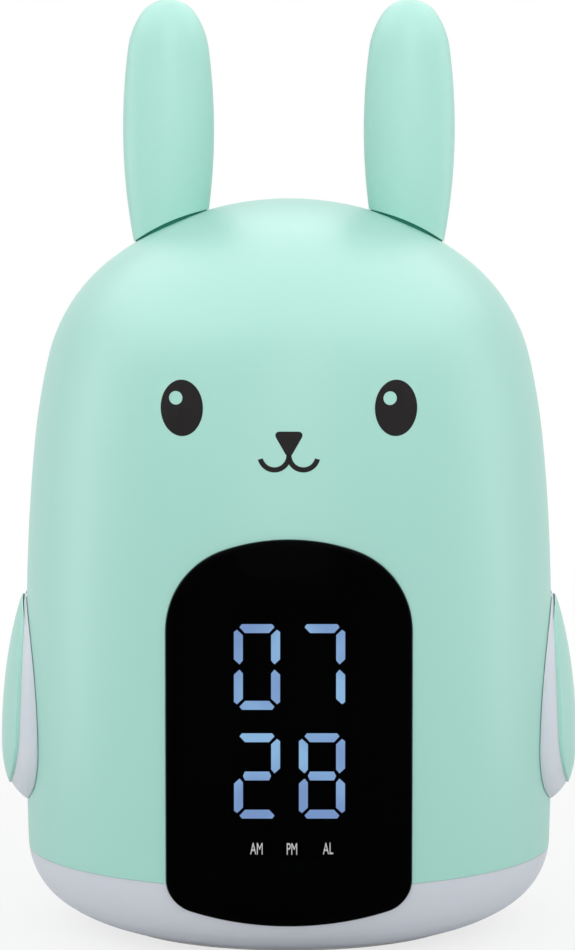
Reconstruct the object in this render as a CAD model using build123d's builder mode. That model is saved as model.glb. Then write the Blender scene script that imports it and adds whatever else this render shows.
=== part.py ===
from build123d import *
import os
from math import cos, radians, sin, sqrt

# Children's alarm clock and night light: a drafted dome with two ears, a frosted bowl that
# glows under it, a glowing pad on each flank and a smoked window over a four-digit display.
# Millimetres, +Z up, front towards -Y, origin on the table under the middle of the body.

os.makedirs("parts", exist_ok=True)

# ---------------------------------------------------------------- driving dimensions
# Body outline: a surface of revolution, given as tangent arcs up and down from the belly.
# Turns are in degrees from upright, each at the far end of its arc.
BELLY_RADIUS = 60.05
BELLY_HEIGHT = 50.0
SEAM_HEIGHT = 18.5
UNDERSIDE = 1.0
SIDE_RADIUS = 1000.0
SIDE_LOW_TURN = 1.72
SIDE_TURN = 2.0
BOWL_RADIUS = 17.0
BOWL_TURN = 56.0
FLANK_RADIUS = 400.0
FLANK_TURN = 5.62
SHOULDER_RADIUS = 156.0
SHOULDER_TURN = 12.8
CROWN_EDGE_RADIUS = 39.3
CROWN_EDGE_TURN = 52.8

WALL = 2.5
BOWL_WALL = 2.0
SPIGOT = (1.6, 3.0)
REACH = 20.0
BOSS_MARGIN = 1.0

# Clearances.
SLIDE_GAP = 0.2
TRIM_GAP = 0.15
FIT_GAP = 0.05
STOP_GAP = 0.25

# Display window.
LENS_WIDTH = 53.0
LENS_TOP = 93.8
LENS_BOTTOM = 9.9
LENS_UPPER_CORNER = 19.0
LENS_UPPER_TURN = 70.0
LENS_LOWER_CORNER = 7.0
LENS_LOWER_TURN = 75.0
LENS_PROUD = 1.2
LENS_SUNK = 1.0
LENS_EDGE = 1.0
WINDOW_CORNER = 2.0
TAPE_THICK = 0.2
WINDOW_WIDTH = 31.0
WINDOW_BOTTOM = 23.0
WINDOW_TOP = 82.0

# Four digits in two rows of seven segments each.
DIGIT_WIDTH = 9.9
DIGIT_HEIGHT = 18.5
SEGMENT_WIDTH = 1.92
DIGIT_COLUMNS = (-6.85, 7.1)
DIGIT_ROWS = (66.2, 42.6)
DIGIT_PATTERNS = (("0", "7"), ("2", "8"))
SEGMENT_CORNER = 1.7
SEGMENT_TIP = (1.2, 0.66)
SEGMENT_MITRE = 0.45
SEGMENT_WAIST = (1.4, 0.56, 1.66)
INDICATOR_HEIGHT = 27.2
INDICATOR_COLUMNS = (-6.9, 0.65, 8.4)
INDICATOR_SIZE = (5.0, 3.4)
DISPLAY_DEPTH = 3.0
REFLECTOR_DEPTH = 5.5
REFLECTOR_RIM = 1.6
REFLECTOR_CORNER = 1.0
DISPLAY_BOARD_SIZE = (45.0, 56.0)
DISPLAY_BOARD_RAISE = 1.0
DISPLAY_SCREW_MARGIN = 4.0
BOARD_THICK = 1.6
BOARD_CORNER = 1.0
LED_SIZE = (3.5, 2.8, 1.0)
SEGMENT_LED_SIZE = (1.6, 0.8, 0.7)

# Ears.
EAR_SPACING = 54.4
EAR_HALF_WIDTH = 10.3
EAR_WIDEST = 181.0
EAR_SIDE_RADIUS = 140.0
EAR_SIDE_TURN = 7.5
EAR_TIP_RADIUS = 18.0
EAR_TIP_TURN = 34.0
EAR_ROOT_RADIUS = 135.0
EAR_ROOT_TURN = 15.0
EAR_FLATNESS = 0.73
EAR_WALL = 2.2
EAR_POST = 7.0
EAR_POST_REACH = 24.0
EAR_RIB = (1.6, 34.0)
EAR_SEAT_GAP = 0.15
EAR_RELIEF = 0.45
EAR_BOSS_DEPTH = 9.9
EAR_BOSS = 16.0
EAR_PIN = 2.4
EAR_PIN_OFFSET = 6.4
EAR_PIN_DEPTH = 4.0
EAR_PIN_LENGTH = 12.0
EAR_WASHER = (12.0, 1.0)

# Flank pads: a squashed teardrop body with a cap that can be pressed in.
PAD_DEPTH = 2.86
PAD_FLATNESS = 0.374
PAD_HEIGHT = 42.5
PAD_OUTLINE = (21.65, PAD_HEIGHT, 48.9, 38.0, 12.0, 60.0)
CAP_OUTLINE = (19.6, 44.6, 41.5, 38.0, 9.5, 60.0)
CAP_PROUD = 0.9
CAP_WALL = 1.2
CAP_TRAVEL = 0.6
PAD_FLOOR = 1.6
PAD_LIGHT_OPENING = (22.0, 24.0)
PAD_LIGHT_CORNER = 4.0
PAD_MIDDLE = 50.0
PAD_BOSS = 4.4
PAD_BOSS_SPACING = 36.0
PAD_BOSS_HEIGHT = 40.0
PLUNGER = 5.0
CAP_LEG_SPACING = 14.0
LEG_SIZE = (1.4, 4.0)
HOOK_OVERHANG = 0.9
HOOK_LENGTH = 1.2
CAP_WELL_GAP = 0.4
PAD_LED_MARGIN = 6.0
PAD_BOSS_WALL = 1.8
PAD_BOARD_DEPTH = 5.75
PAD_BOARD_SIZE = (44.0, 30.0)
PAD_SWITCH_HEIGHT = 3.9
SWITCH_BODY = 4.6
SWITCH_BUTTON = 2.6
SWITCH_BODY_HEIGHT = 3.0

# Base plate, battery bay and feet.
PLATE_INSET = 20.05
PLATE_THICK = 2.5
LEDGE_OVERLAP = 6.6
LEDGE_REACH = 4.0
LEDGE_THICK = 2.0
BASE_SCREW_INSET = 3.7
FOOT_INSET = 5.7
FOOT = 9.0
FOOT_THICK = 1.8
CELL = 10.5
CELL_LENGTH = 43.3
CELL_NUB = 1.2
CELL_COUNT = 3
CELL_PITCH = 10.9
BAY_LENGTH = 50.0
BAY_WALL = 1.5
BAY_CLEAR = 1.8
DOOR_LIP = 1.25
DOOR_THICK = 1.4
DOOR_GAP = 0.25
DOOR_CORNER = 2.0
DOOR_SEAT_GAP = 0.1
TAB_SPACING = 18.0
TAB_SIZE = (5.0, 1.3, 0.5)
TAB_POCKET_ROOF = 2.1
NOTCH_SIZE = (10.0, 2.4, 0.9)
PLATE_EDGE = 0.4
FOOT_EDGE = 0.3
HEAD_SUNK = 0.1
CONTACT_THICK = 0.4
CONTACT_SIZE = 8.0
LEAF_WIDTH = 5.0
LEAF_HALF = 3.6

# Chassis and boards.
CHASSIS_HEIGHT = 24.0
CHASSIS_THICK = 2.0
CHASSIS_GAP = 0.87
DISPLAY_NOTCH_GAP = 3.0
DOME_BOSS_INSET = 3.6
DOME_BOSS = 8.0
DOME_BOSS_HEIGHT = 20.0
DOME_PILOT = 14.0
CHASSIS_BOSS = 7.0
STANDOFF = 5.5
STANDOFF_HEIGHT = 6.0
STANDOFF_SPOTS = ((-22.0, -18.0), (22.0, -18.0), (-22.0, 34.0), (22.0, 34.0))
MAIN_BOARD_SIZE = (54.0, 66.0)
MAIN_BOARD_MIDDLE = 10.0
BOARD_TAB = (16.0, 1.4)
CABLE_SLOT = (14.0, 7.0)
CABLE_SLOT_PLACES = ((0, -30), (0, 26))
RING_BOARD_MARGINS = (0.8, 5.34)
RING_LED_COUNT = 12
RING_SCREW_ANGLES = (15, 135, 255)

# Rear controls.
KEY = 7.5
KEY_PITCH = 10.0
KEY_HEIGHT = 62.0
KEY_NAMES = ("time_key", "alarm_key", "light_key", "down_key", "up_key")
KEY_PROUD = 0.8
KEY_TRAVEL = 0.6
KEY_FLANGE = 9.6
KEY_FLANGE_THICK = 1.1
KEY_EDGE = 0.5
KEY_COLLAR_DEPTH = 8.5
KEY_COLLAR_WALL = 1.2
REAR_BOARD_DROP = 5.7
REAR_BOARD_SIZE = (62.0, 24.0)
REAR_BOSS_REACH = (27.0, 8.5)

# Power inlet.
SOCKET_SIZE = (8.94, 3.26)
SOCKET_WALL = 0.3
SOCKET_LENGTH = 7.3
SOCKET_RECESS = 3.0
SOCKET_TONGUE = (6.6, 0.7)
SOCKET_BACK = 1.0
INLET_SIZE = (12.8, 7.6)

# Speaker.
SPEAKER = 36.0
SPEAKER_HEIGHT = 112.0
SPEAKER_FACE_DEPTH = 10.4
SPEAKER_RING_GAP = 0.5
SPEAKER_SCREW_GAP = 0.8
SPEAKER_SURROUND = 2.6
SPEAKER_RING_WALL = 2.4
SPEAKER_FLANGE = 1.2
SPEAKER_DEPTH = 9.0
SPEAKER_MAGNET = 20.0
SPEAKER_MAGNET_THICK = 5.0
BASKET_WALL = 0.8
CONE_RIM_GAP = 0.3
CONE_CAP_DEPTH = 3.8
CONE_CAP_RADIUS = 12.0
CONE_CAP_TURN = 30.0
CONE_THICK = 0.5
GRILLE_SLOT = 2.0
GRILLE_PITCH = 4.4
GRILLE_ROWS = 7
GRILLE_RADIUS = 15.0

# Screws: head diameter, head height, shank diameter, length under the head.
CASE_SCREW = (5.0, 1.6, 2.6, 12.0)
BOARD_SCREW = (4.0, 1.3, 2.0, 5.0)
HEAD_ROUND = 0.6


# ---------------------------------------------------------------- shared shapes
def body_outline(inset):
    """Closed half outline of the body, set in by the given amount, in the active line."""
    belly = (BELLY_RADIUS - inset, BELLY_HEIGHT)
    low_side = JernArc(belly, (0, -1), SIDE_RADIUS - inset, -SIDE_LOW_TURN)
    bowl = JernArc(low_side @ 1, low_side % 1, BOWL_RADIUS - inset, SIDE_LOW_TURN - BOWL_TURN)
    drop = (bowl @ 1).Y - UNDERSIDE - inset
    under = JernArc(bowl @ 1, bowl % 1, drop / (1 - sin(radians(BOWL_TURN))), BOWL_TURN - 90)
    high_side = JernArc(belly, (0, 1), SIDE_RADIUS - inset, SIDE_TURN)
    flank = JernArc(high_side @ 1, high_side % 1, FLANK_RADIUS - inset, FLANK_TURN - SIDE_TURN)
    shoulder_turn = SHOULDER_TURN - FLANK_TURN
    shoulder = JernArc(flank @ 1, flank % 1, SHOULDER_RADIUS - inset, shoulder_turn)
    edge_turn = CROWN_EDGE_TURN - SHOULDER_TURN
    crown_edge = JernArc(shoulder @ 1, shoulder % 1, CROWN_EDGE_RADIUS - inset, edge_turn)
    crown_radius = (crown_edge @ 1).X / cos(radians(CROWN_EDGE_TURN))
    crown = JernArc(crown_edge @ 1, crown_edge % 1, crown_radius, 90 - CROWN_EDGE_TURN)
    Polyline(crown @ 1, (0, UNDERSIDE + inset), under @ 1)


def body_solid(inset):
    """The whole body as one solid, set in from the outer surface."""
    with BuildPart() as body:
        with BuildSketch(Plane.XZ):
            with BuildLine():
                body_outline(inset)
            make_face()
        revolve(axis=Axis.Z)
    return body.part


def next_centre(centre, radius, turn, next_radius):
    """Centre of the arc that leaves another arc at the given turn without a corner."""
    shift = radius - next_radius
    return centre[0] + shift * cos(radians(turn)), centre[1] + shift * sin(radians(turn))


# Centres of the outline's arcs, as radius and height.
side_centre = (BELLY_RADIUS - SIDE_RADIUS, BELLY_HEIGHT)
bowl_centre = next_centre(side_centre, SIDE_RADIUS, -SIDE_LOW_TURN, BOWL_RADIUS)
flank_centre = next_centre(side_centre, SIDE_RADIUS, SIDE_TURN, FLANK_RADIUS)
shoulder_centre = next_centre(flank_centre, FLANK_RADIUS, FLANK_TURN, SHOULDER_RADIUS)
edge_centre = next_centre(shoulder_centre, SHOULDER_RADIUS, SHOULDER_TURN, CROWN_EDGE_RADIUS)
crown_radius = edge_centre[0] / cos(radians(CROWN_EDGE_TURN)) + CROWN_EDGE_RADIUS
crown_centre = next_centre(edge_centre, CROWN_EDGE_RADIUS, CROWN_EDGE_TURN, crown_radius)
WALL_ARCS = (
    (bowl_centre, BOWL_RADIUS, -SIDE_LOW_TURN),
    (side_centre, SIDE_RADIUS, SIDE_TURN),
    (flank_centre, FLANK_RADIUS, FLANK_TURN),
    (shoulder_centre, SHOULDER_RADIUS, SHOULDER_TURN),
)


def outline_radius(height, inset=0.0):
    """Body radius at a height between the bowl and the shoulder, set in by the given amount."""
    for centre, radius, turn in WALL_ARCS:
        if height < centre[1] + (radius - inset) * sin(radians(turn)):
            break
    return centre[0] + sqrt((radius - inset) ** 2 - (height - centre[1]) ** 2)


def crown_height(reach):
    """Height of the crown at a distance from the axis."""
    return crown_centre[1] + sqrt(crown_radius**2 - reach**2)


# Places that follow the outline.
DISPLAY_FACE = outline_radius(WINDOW_TOP) - DISPLAY_DEPTH
PAD_CENTRE = outline_radius(PAD_HEIGHT) - PAD_DEPTH
PAD_BOARD_FACE = PAD_CENTRE - PAD_BOARD_DEPTH
EAR_BOSS_FACE = crown_height(EAR_SPACING / 2) - EAR_BOSS_DEPTH
CHASSIS_RADIUS = outline_radius(CHASSIS_HEIGHT, WALL) - CHASSIS_GAP
DOME_BOSS_CIRCLE = CHASSIS_RADIUS - DOME_BOSS_INSET
PLATE_RADIUS = BELLY_RADIUS - PLATE_INSET
BASE_SCREW_CIRCLE = PLATE_RADIUS - BASE_SCREW_INSET
FOOT_CIRCLE = PLATE_RADIUS - FOOT_INSET
RING_INNER_RADIUS = BASE_SCREW_CIRCLE + CHASSIS_BOSS / 2 + RING_BOARD_MARGINS[0]
RING_OUTER_RADIUS = DOME_BOSS_CIRCLE - RING_BOARD_MARGINS[1]
KEY_COLLAR_FACE = outline_radius(KEY_HEIGHT) - KEY_COLLAR_DEPTH
REAR_BOARD_FACE = KEY_COLLAR_FACE - REAR_BOARD_DROP
REAR_BOSS_SPOTS = [
    (x * REAR_BOSS_REACH[0], KEY_HEIGHT + z * REAR_BOSS_REACH[1]) for z in (-1, 1) for x in (-1, 1)
]
SPEAKER_FACE = outline_radius(SPEAKER_HEIGHT) - SPEAKER_FACE_DEPTH
BOARD_LOW = CHASSIS_HEIGHT + CHASSIS_THICK + STANDOFF_HEIGHT
SOCKET_HEIGHT = BOARD_LOW + BOARD_THICK + SOCKET_SIZE[1] / 2
SOCKET_MOUTH = outline_radius(SOCKET_HEIGHT) - SOCKET_RECESS


def lens_outline(grow):
    """Tall arch outline of the display window, grown by the given amount, in the active line."""
    half_width = LENS_WIDTH / 2 + grow
    upper_turn = radians(LENS_UPPER_TURN)
    lower_turn = radians(LENS_LOWER_TURN)
    upper_crown = (LENS_WIDTH / 2 - LENS_UPPER_CORNER * (1 - cos(upper_turn))) / cos(upper_turn)
    lower_crown = (LENS_WIDTH / 2 - LENS_LOWER_CORNER * (1 - cos(lower_turn))) / cos(lower_turn)
    upper_rise = LENS_UPPER_CORNER * sin(upper_turn) + upper_crown * (1 - sin(upper_turn))
    lower_drop = LENS_LOWER_CORNER * sin(lower_turn) + lower_crown * (1 - sin(lower_turn))
    side = Line((half_width, LENS_BOTTOM + lower_drop), (half_width, LENS_TOP - upper_rise))
    upper = JernArc(side @ 1, (0, 1), LENS_UPPER_CORNER + grow, LENS_UPPER_TURN)
    JernArc(upper @ 1, upper % 1, upper_crown + grow, 90 - LENS_UPPER_TURN)
    lower = JernArc(side @ 0, (0, -1), LENS_LOWER_CORNER + grow, -LENS_LOWER_TURN)
    JernArc(lower @ 1, lower % 1, lower_crown + grow, LENS_LOWER_TURN - 90)
    mirror(about=Plane.YZ)


def teardrop_half(outline, inset):
    """Half teardrop about the local Y axis, blunt end down, in the active line."""
    half_width, widest, upper_radius, upper_turn, lower_radius, lower_turn = outline
    start = (half_width - inset, widest)
    upper = JernArc(start, (0, 1), upper_radius - inset, upper_turn)
    tip = JernArc(upper @ 1, upper % 1, (upper @ 1).X / cos(radians(upper_turn)), 90 - upper_turn)
    lower = JernArc(start, (0, -1), lower_radius - inset, -lower_turn)
    heel_radius = (lower @ 1).X / cos(radians(lower_turn))
    heel = JernArc(lower @ 1, lower % 1, heel_radius, lower_turn - 90)
    return tip @ 1, heel @ 1


def pad_solid(inset, shift=0.0):
    """Squashed teardrop on the right flank, set in and shifted towards the body."""
    with BuildPart() as pad:
        with BuildSketch(Plane.XZ):
            with BuildLine():
                top, bottom = teardrop_half(PAD_OUTLINE, inset)
                Line(top, bottom)
            make_face()
        revolve(axis=Axis.Z)
        scale(by=(PAD_FLATNESS, 1, 1))
    return pad.part.moved(Location((PAD_CENTRE - shift, 0, 0)))


def cap_prism(grow):
    """Cap outline of the right flank pad, extruded outwards along X."""
    with BuildPart() as prism:
        with BuildSketch(Plane.YZ.offset(PAD_BOARD_FACE)):
            with BuildLine():
                teardrop_half(CAP_OUTLINE, -grow)
                mirror(about=Plane.YZ)
            make_face()
        extrude(amount=PAD_CENTRE)
    return prism.part


def ear_solid(inset):
    """Flattened ear on the right side, set in from its outer surface."""
    with BuildPart() as ear:
        with BuildSketch(Plane.XZ):
            with BuildLine():
                start = (EAR_HALF_WIDTH - inset, EAR_WIDEST)
                side = JernArc(start, (0, 1), EAR_SIDE_RADIUS - inset, EAR_SIDE_TURN)
                tip_turn = EAR_TIP_TURN - EAR_SIDE_TURN
                bend = JernArc(side @ 1, side % 1, EAR_TIP_RADIUS - inset, tip_turn)
                tip_radius = (bend @ 1).X / cos(radians(EAR_TIP_TURN))
                tip = JernArc(bend @ 1, bend % 1, tip_radius, 90 - EAR_TIP_TURN)
                root = JernArc(start, (0, -1), EAR_ROOT_RADIUS - inset, -EAR_ROOT_TURN)
                Polyline(tip @ 1, (0, (root @ 1).Y), root @ 1)
            make_face()
        revolve(axis=Axis.Z)
        scale(by=(1, EAR_FLATNESS, 1))
    return ear.part.moved(Location((EAR_SPACING / 2, 0, 0)))


def screw(size):
    """Pan-head screw standing on its tip: head above the local XY plane, shank below."""
    head, head_height, shank, length = size
    with BuildPart() as fastener:
        with BuildSketch(Plane.XZ):
            with BuildLine():
                top = Line((0, head_height), (head / 2 - head_height * HEAD_ROUND, head_height))
                rim = JernArc(top @ 1, (1, 0), head_height * HEAD_ROUND, -90)
                Polyline(
                    rim @ 1,
                    (head / 2, 0),
                    (shank / 2, 0),
                    (shank / 2, shank / 2 - length),
                    (shank / 4, 0 - length),
                    (0, 0 - length),
                    (0, head_height),
                )
            make_face()
        revolve(axis=Axis.Z)
    return fastener.part


def flank_plane(offset, side=1):
    """Plane across a flank at the given distance from the middle, facing out, Z up."""
    return Plane(origin=(side * offset, 0, 0), z_dir=(side, 0, 0), x_dir=(0, side, 0))


def save(part, name):
    part.label = name
    export_step(part, f"parts/{name}.step")


body = body_solid(0)
body_bore = body_solid(WALL)
bowl_bore = body_solid(BOWL_WALL)
body_skin = body_solid(WALL / 2)
pocket_floor = body_solid(LENS_SUNK + TAPE_THICK)
case_screw = screw(CASE_SCREW)
board_screw = screw(BOARD_SCREW)
case_pilot = CASE_SCREW[2] / 2 + FIT_GAP
board_pilot = BOARD_SCREW[2] / 2 + FIT_GAP
board_pilot_depth = BOARD_SCREW[3] - BOARD_THICK + FIT_GAP

with BuildPart() as lens_pocket:
    with BuildSketch(Plane.XZ):
        with BuildLine():
            lens_outline(TRIM_GAP)
        make_face()
    extrude(amount=BELLY_RADIUS * 2)
    add(pocket_floor, mode=Mode.SUBTRACT)

# ---------------------------------------------------------------- dome
# Bosses and rings moulded inside the dome, trimmed to end within its wall.
ear_hole = EAR_POST / 2 + SLIDE_GAP / 2
pad_boss_spots = [(side * PAD_BOSS_SPACING / 2, PAD_BOSS_HEIGHT) for side in (-1, 1)]
display_board_middle = (WINDOW_BOTTOM + WINDOW_TOP) / 2 + DISPLAY_BOARD_RAISE
display_screw_spots = [
    (
        x * (WINDOW_WIDTH / 2 + DISPLAY_SCREW_MARGIN),
        display_board_middle + z * (DISPLAY_BOARD_SIZE[1] / 2 - DISPLAY_SCREW_MARGIN),
    )
    for x in (-1, 1)
    for z in (-1, 1)
]
display_board_face = DISPLAY_FACE - REFLECTOR_DEPTH
key_spots = [((index - 2) * KEY_PITCH, KEY_HEIGHT) for index in range(len(KEY_NAMES))]
speaker_ring = SPEAKER / 2 + SPEAKER_RING_GAP
speaker_screw_circle = SPEAKER / 2 + BOARD_SCREW[0] / 2 + SPEAKER_SCREW_GAP
BEHIND = Plane(origin=(0, 0, 0), x_dir=(-1, 0, 0), z_dir=(0, 1, 0))

with BuildPart() as dome_bosses:
    with BuildSketch(Plane.XY.offset(CHASSIS_HEIGHT + CHASSIS_THICK)):
        with PolarLocations(DOME_BOSS_CIRCLE, 4, 45):
            Circle(DOME_BOSS / 2)
        with PolarLocations(DOME_BOSS_CIRCLE + DOME_BOSS / 2, 4, 45):
            Rectangle(DOME_BOSS, DOME_BOSS)
    extrude(amount=DOME_BOSS_HEIGHT)
    with BuildSketch(Plane.XY.offset(EAR_BOSS_FACE)):
        with GridLocations(EAR_SPACING, 0, 2, 1):
            Circle(EAR_BOSS / 2)
    extrude(amount=EAR_BOSS)
    with BuildSketch(Plane.XZ.offset(display_board_face)):
        with Locations(*display_screw_spots):
            Circle(BOARD_SCREW[0] / 2 + BOSS_MARGIN)
    extrude(amount=REACH)
    for side in (-1, 1):
        with BuildSketch(flank_plane(PAD_BOARD_FACE, side)):
            with Locations(*pad_boss_spots):
                Circle(PAD_BOSS / 2 + PAD_BOSS_WALL)
        extrude(amount=REACH)
    with BuildSketch(BEHIND.offset(REAR_BOARD_FACE)):
        with Locations(*REAR_BOSS_SPOTS):
            Circle(BOARD_SCREW[0] / 2 + BOSS_MARGIN)
    extrude(amount=REACH)
    with BuildSketch(BEHIND.offset(KEY_COLLAR_FACE)):
        with Locations(*key_spots):
            Circle(KEY / 2 + SLIDE_GAP + KEY_COLLAR_WALL)
    extrude(amount=REACH)
    with BuildSketch(BEHIND.offset(SPEAKER_FACE)):
        with Locations((0, SPEAKER_HEIGHT)):
            Circle(speaker_ring)
            Circle(speaker_ring - SPEAKER_RING_WALL, mode=Mode.SUBTRACT)
    extrude(amount=REACH)
    with BuildSketch(BEHIND.offset(SPEAKER_FACE - SPEAKER_FLANGE)):
        with Locations((0, SPEAKER_HEIGHT)):
            with PolarLocations(speaker_screw_circle, 3, 90):
                Circle(BOARD_SCREW[0] / 2 + BOSS_MARGIN / 2)
    extrude(amount=REACH)
    add(body_skin, mode=Mode.INTERSECT)

with BuildPart() as speaker_seat:
    with BuildSketch(BEHIND.offset(SPEAKER_FACE - SPEAKER_FLANGE)):
        with Locations((0, SPEAKER_HEIGHT)):
            Circle(SPEAKER / 2 + TRIM_GAP)
    extrude(amount=SPEAKER_FLANGE)

with BuildPart() as dome_shell:
    add(body)
    add(body_bore, mode=Mode.SUBTRACT)
    split(bisect_by=Plane.XY.offset(SEAM_HEIGHT), keep=Keep.TOP)
    add(dome_bosses.part)
    add(speaker_seat.part, mode=Mode.SUBTRACT)
    add(lens_pocket.part, mode=Mode.SUBTRACT)
    # Window behind the lens, open for the digit block.
    with BuildSketch(Plane.XZ.offset(display_board_face)):
        with Locations((0, (WINDOW_BOTTOM + WINDOW_TOP) / 2)):
            RectangleRounded(WINDOW_WIDTH, WINDOW_TOP - WINDOW_BOTTOM, WINDOW_CORNER)
    extrude(amount=BELLY_RADIUS, mode=Mode.SUBTRACT)
    with BuildSketch(Plane.XZ.offset(display_board_face)):
        with Locations(*display_screw_spots):
            Circle(board_pilot)
    extrude(amount=board_pilot_depth, mode=Mode.SUBTRACT)
    # Pilot holes for the chassis screws.
    with BuildSketch(Plane.XY.offset(CHASSIS_HEIGHT + CHASSIS_THICK)):
        with PolarLocations(DOME_BOSS_CIRCLE, 4, 45):
            Circle(case_pilot)
    extrude(amount=DOME_PILOT, mode=Mode.SUBTRACT)
    # Ear posts pass straight down through the crown.
    with BuildSketch(Plane.XY.offset(EAR_BOSS_FACE)):
        with GridLocations(EAR_SPACING, 0, 2, 1):
            Circle(ear_hole)
        with Locations((EAR_SPACING / 2 - EAR_PIN_OFFSET, 0), (EAR_PIN_OFFSET - EAR_SPACING / 2, 0)):
            Circle(EAR_PIN / 2 + SLIDE_GAP / 2)
    extrude(amount=2 * EAR_BOSS, mode=Mode.SUBTRACT)
    # Light openings and boss holes of the flank pads.
    for side in (-1, 1):
        with BuildSketch(flank_plane(PAD_BOARD_FACE, side)):
            with Locations((0, PAD_MIDDLE)):
                RectangleRounded(*PAD_LIGHT_OPENING, PAD_LIGHT_CORNER)
            with Locations(*pad_boss_spots):
                Circle(PAD_BOSS / 2 + SLIDE_GAP)
        extrude(amount=REACH, mode=Mode.SUBTRACT)
    # Key holes through their collars, and pilots for the key board.
    with BuildSketch(BEHIND.offset(KEY_COLLAR_FACE)):
        with Locations(*key_spots):
            Circle(KEY / 2 + SLIDE_GAP)
    extrude(amount=REACH, mode=Mode.SUBTRACT)
    with BuildSketch(BEHIND.offset(REAR_BOARD_FACE)):
        with Locations(*REAR_BOSS_SPOTS):
            Circle(board_pilot)
    extrude(amount=board_pilot_depth, mode=Mode.SUBTRACT)
    # Power inlet.
    with BuildSketch(BEHIND.offset(SOCKET_MOUTH - SOCKET_RECESS)):
        with Locations((0, SOCKET_HEIGHT)):
            SlotOverall(INLET_SIZE[0], INLET_SIZE[1])
    extrude(amount=REACH, mode=Mode.SUBTRACT)
    # Speaker slots, each as long as the speaker's round allows.
    with BuildSketch(BEHIND.offset(SPEAKER_FACE)):
        for row in range(GRILLE_ROWS):
            offset_up = (row - (GRILLE_ROWS - 1) / 2) * GRILLE_PITCH
            with Locations((0, SPEAKER_HEIGHT + offset_up)):
                SlotOverall(2 * sqrt(GRILLE_RADIUS**2 - offset_up**2), GRILLE_SLOT)
    extrude(amount=REACH, mode=Mode.SUBTRACT)
    with BuildSketch(BEHIND.offset(SPEAKER_FACE - SPEAKER_FLANGE)):
        with Locations((0, SPEAKER_HEIGHT)):
            with PolarLocations(speaker_screw_circle, 3, 90):
                Circle(board_pilot)
    extrude(amount=BOARD_SCREW[3], mode=Mode.SUBTRACT)
save(dome_shell.part, "dome_shell")

# ---------------------------------------------------------------- frosted bowl
plate_top = UNDERSIDE + PLATE_THICK
bay_width = CELL_COUNT * CELL_PITCH
spigot_radius = outline_radius(SEAM_HEIGHT, WALL) - SLIDE_GAP
base_screw_reach = BASE_SCREW_CIRCLE * cos(radians(45))
base_screw_spots = [(x * base_screw_reach, y * base_screw_reach) for x in (-1, 1) for y in (-1, 1)]

with BuildPart() as bowl_inside:
    with BuildSketch(Plane.XY.offset(SEAM_HEIGHT / 2)):
        Circle(spigot_radius)
        Circle(spigot_radius - SPIGOT[0], mode=Mode.SUBTRACT)
    extrude(amount=SEAM_HEIGHT / 2 + SPIGOT[1])
    with BuildSketch(Plane.XY.offset(plate_top + FIT_GAP)):
        Circle(PLATE_RADIUS + LEDGE_REACH)
        Circle(PLATE_RADIUS - LEDGE_OVERLAP, mode=Mode.SUBTRACT)
        Rectangle(bay_width + 2 * BAY_CLEAR, BAY_LENGTH + 2 * BAY_CLEAR, mode=Mode.SUBTRACT)
    extrude(amount=LEDGE_THICK)
    add(body, mode=Mode.INTERSECT)

with BuildPart() as base_diffuser:
    add(body)
    add(bowl_bore, mode=Mode.SUBTRACT)
    split(bisect_by=Plane.XY.offset(SEAM_HEIGHT - FIT_GAP), keep=Keep.BOTTOM)
    with BuildSketch(Plane.XY):
        Circle(PLATE_RADIUS + TRIM_GAP)
    extrude(amount=plate_top + FIT_GAP, mode=Mode.SUBTRACT)
    add(bowl_inside.part)
    add(lens_pocket.part, mode=Mode.SUBTRACT)
    with BuildSketch(Plane.XY.offset(UNDERSIDE)):
        with Locations(*base_screw_spots):
            Circle(CASE_SCREW[2] / 2 + SLIDE_GAP)
    extrude(amount=REACH, mode=Mode.SUBTRACT)
save(base_diffuser.part, "base_diffuser")

# ---------------------------------------------------------------- display window
lens_front = body_solid(-LENS_PROUD)
lens_back = body_solid(LENS_SUNK)


def on_lens_rim(edge):
    """True for an edge of the outer surface that follows the outline of the window."""
    return lens_front.shell().distance_to(edge @ 0.5) < 1e-4


with BuildPart() as display_lens:
    with BuildSketch(Plane.XZ):
        with BuildLine():
            lens_outline(0)
        make_face()
    extrude(amount=BELLY_RADIUS * 2)
    add(lens_front, mode=Mode.INTERSECT)
    add(lens_back, mode=Mode.SUBTRACT)
    walls = faces().filter_by(lambda face: abs(face.normal_at().Y) < 1e-6)
    fillet(walls.edges().filter_by(on_lens_rim), LENS_EDGE)
save(display_lens.part, "display_lens")

with BuildPart() as lens_tape:
    with BuildSketch(Plane.XZ):
        with BuildLine():
            lens_outline(-LENS_EDGE)
        make_face()
        with Locations((0, (WINDOW_BOTTOM + WINDOW_TOP) / 2)):
            Rectangle(WINDOW_WIDTH + 1, WINDOW_TOP - WINDOW_BOTTOM + 1, mode=Mode.SUBTRACT)
    extrude(amount=BELLY_RADIUS * 2)
    add(body_solid(LENS_SUNK + FIT_GAP), mode=Mode.INTERSECT)
    add(pocket_floor, mode=Mode.SUBTRACT)
save(lens_tape.part, "lens_tape")

# ---------------------------------------------------------------- digit block
LIT_SEGMENTS = {"0": "abcdef", "7": "abc", "2": "abged", "8": "abcdefg"}


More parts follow.
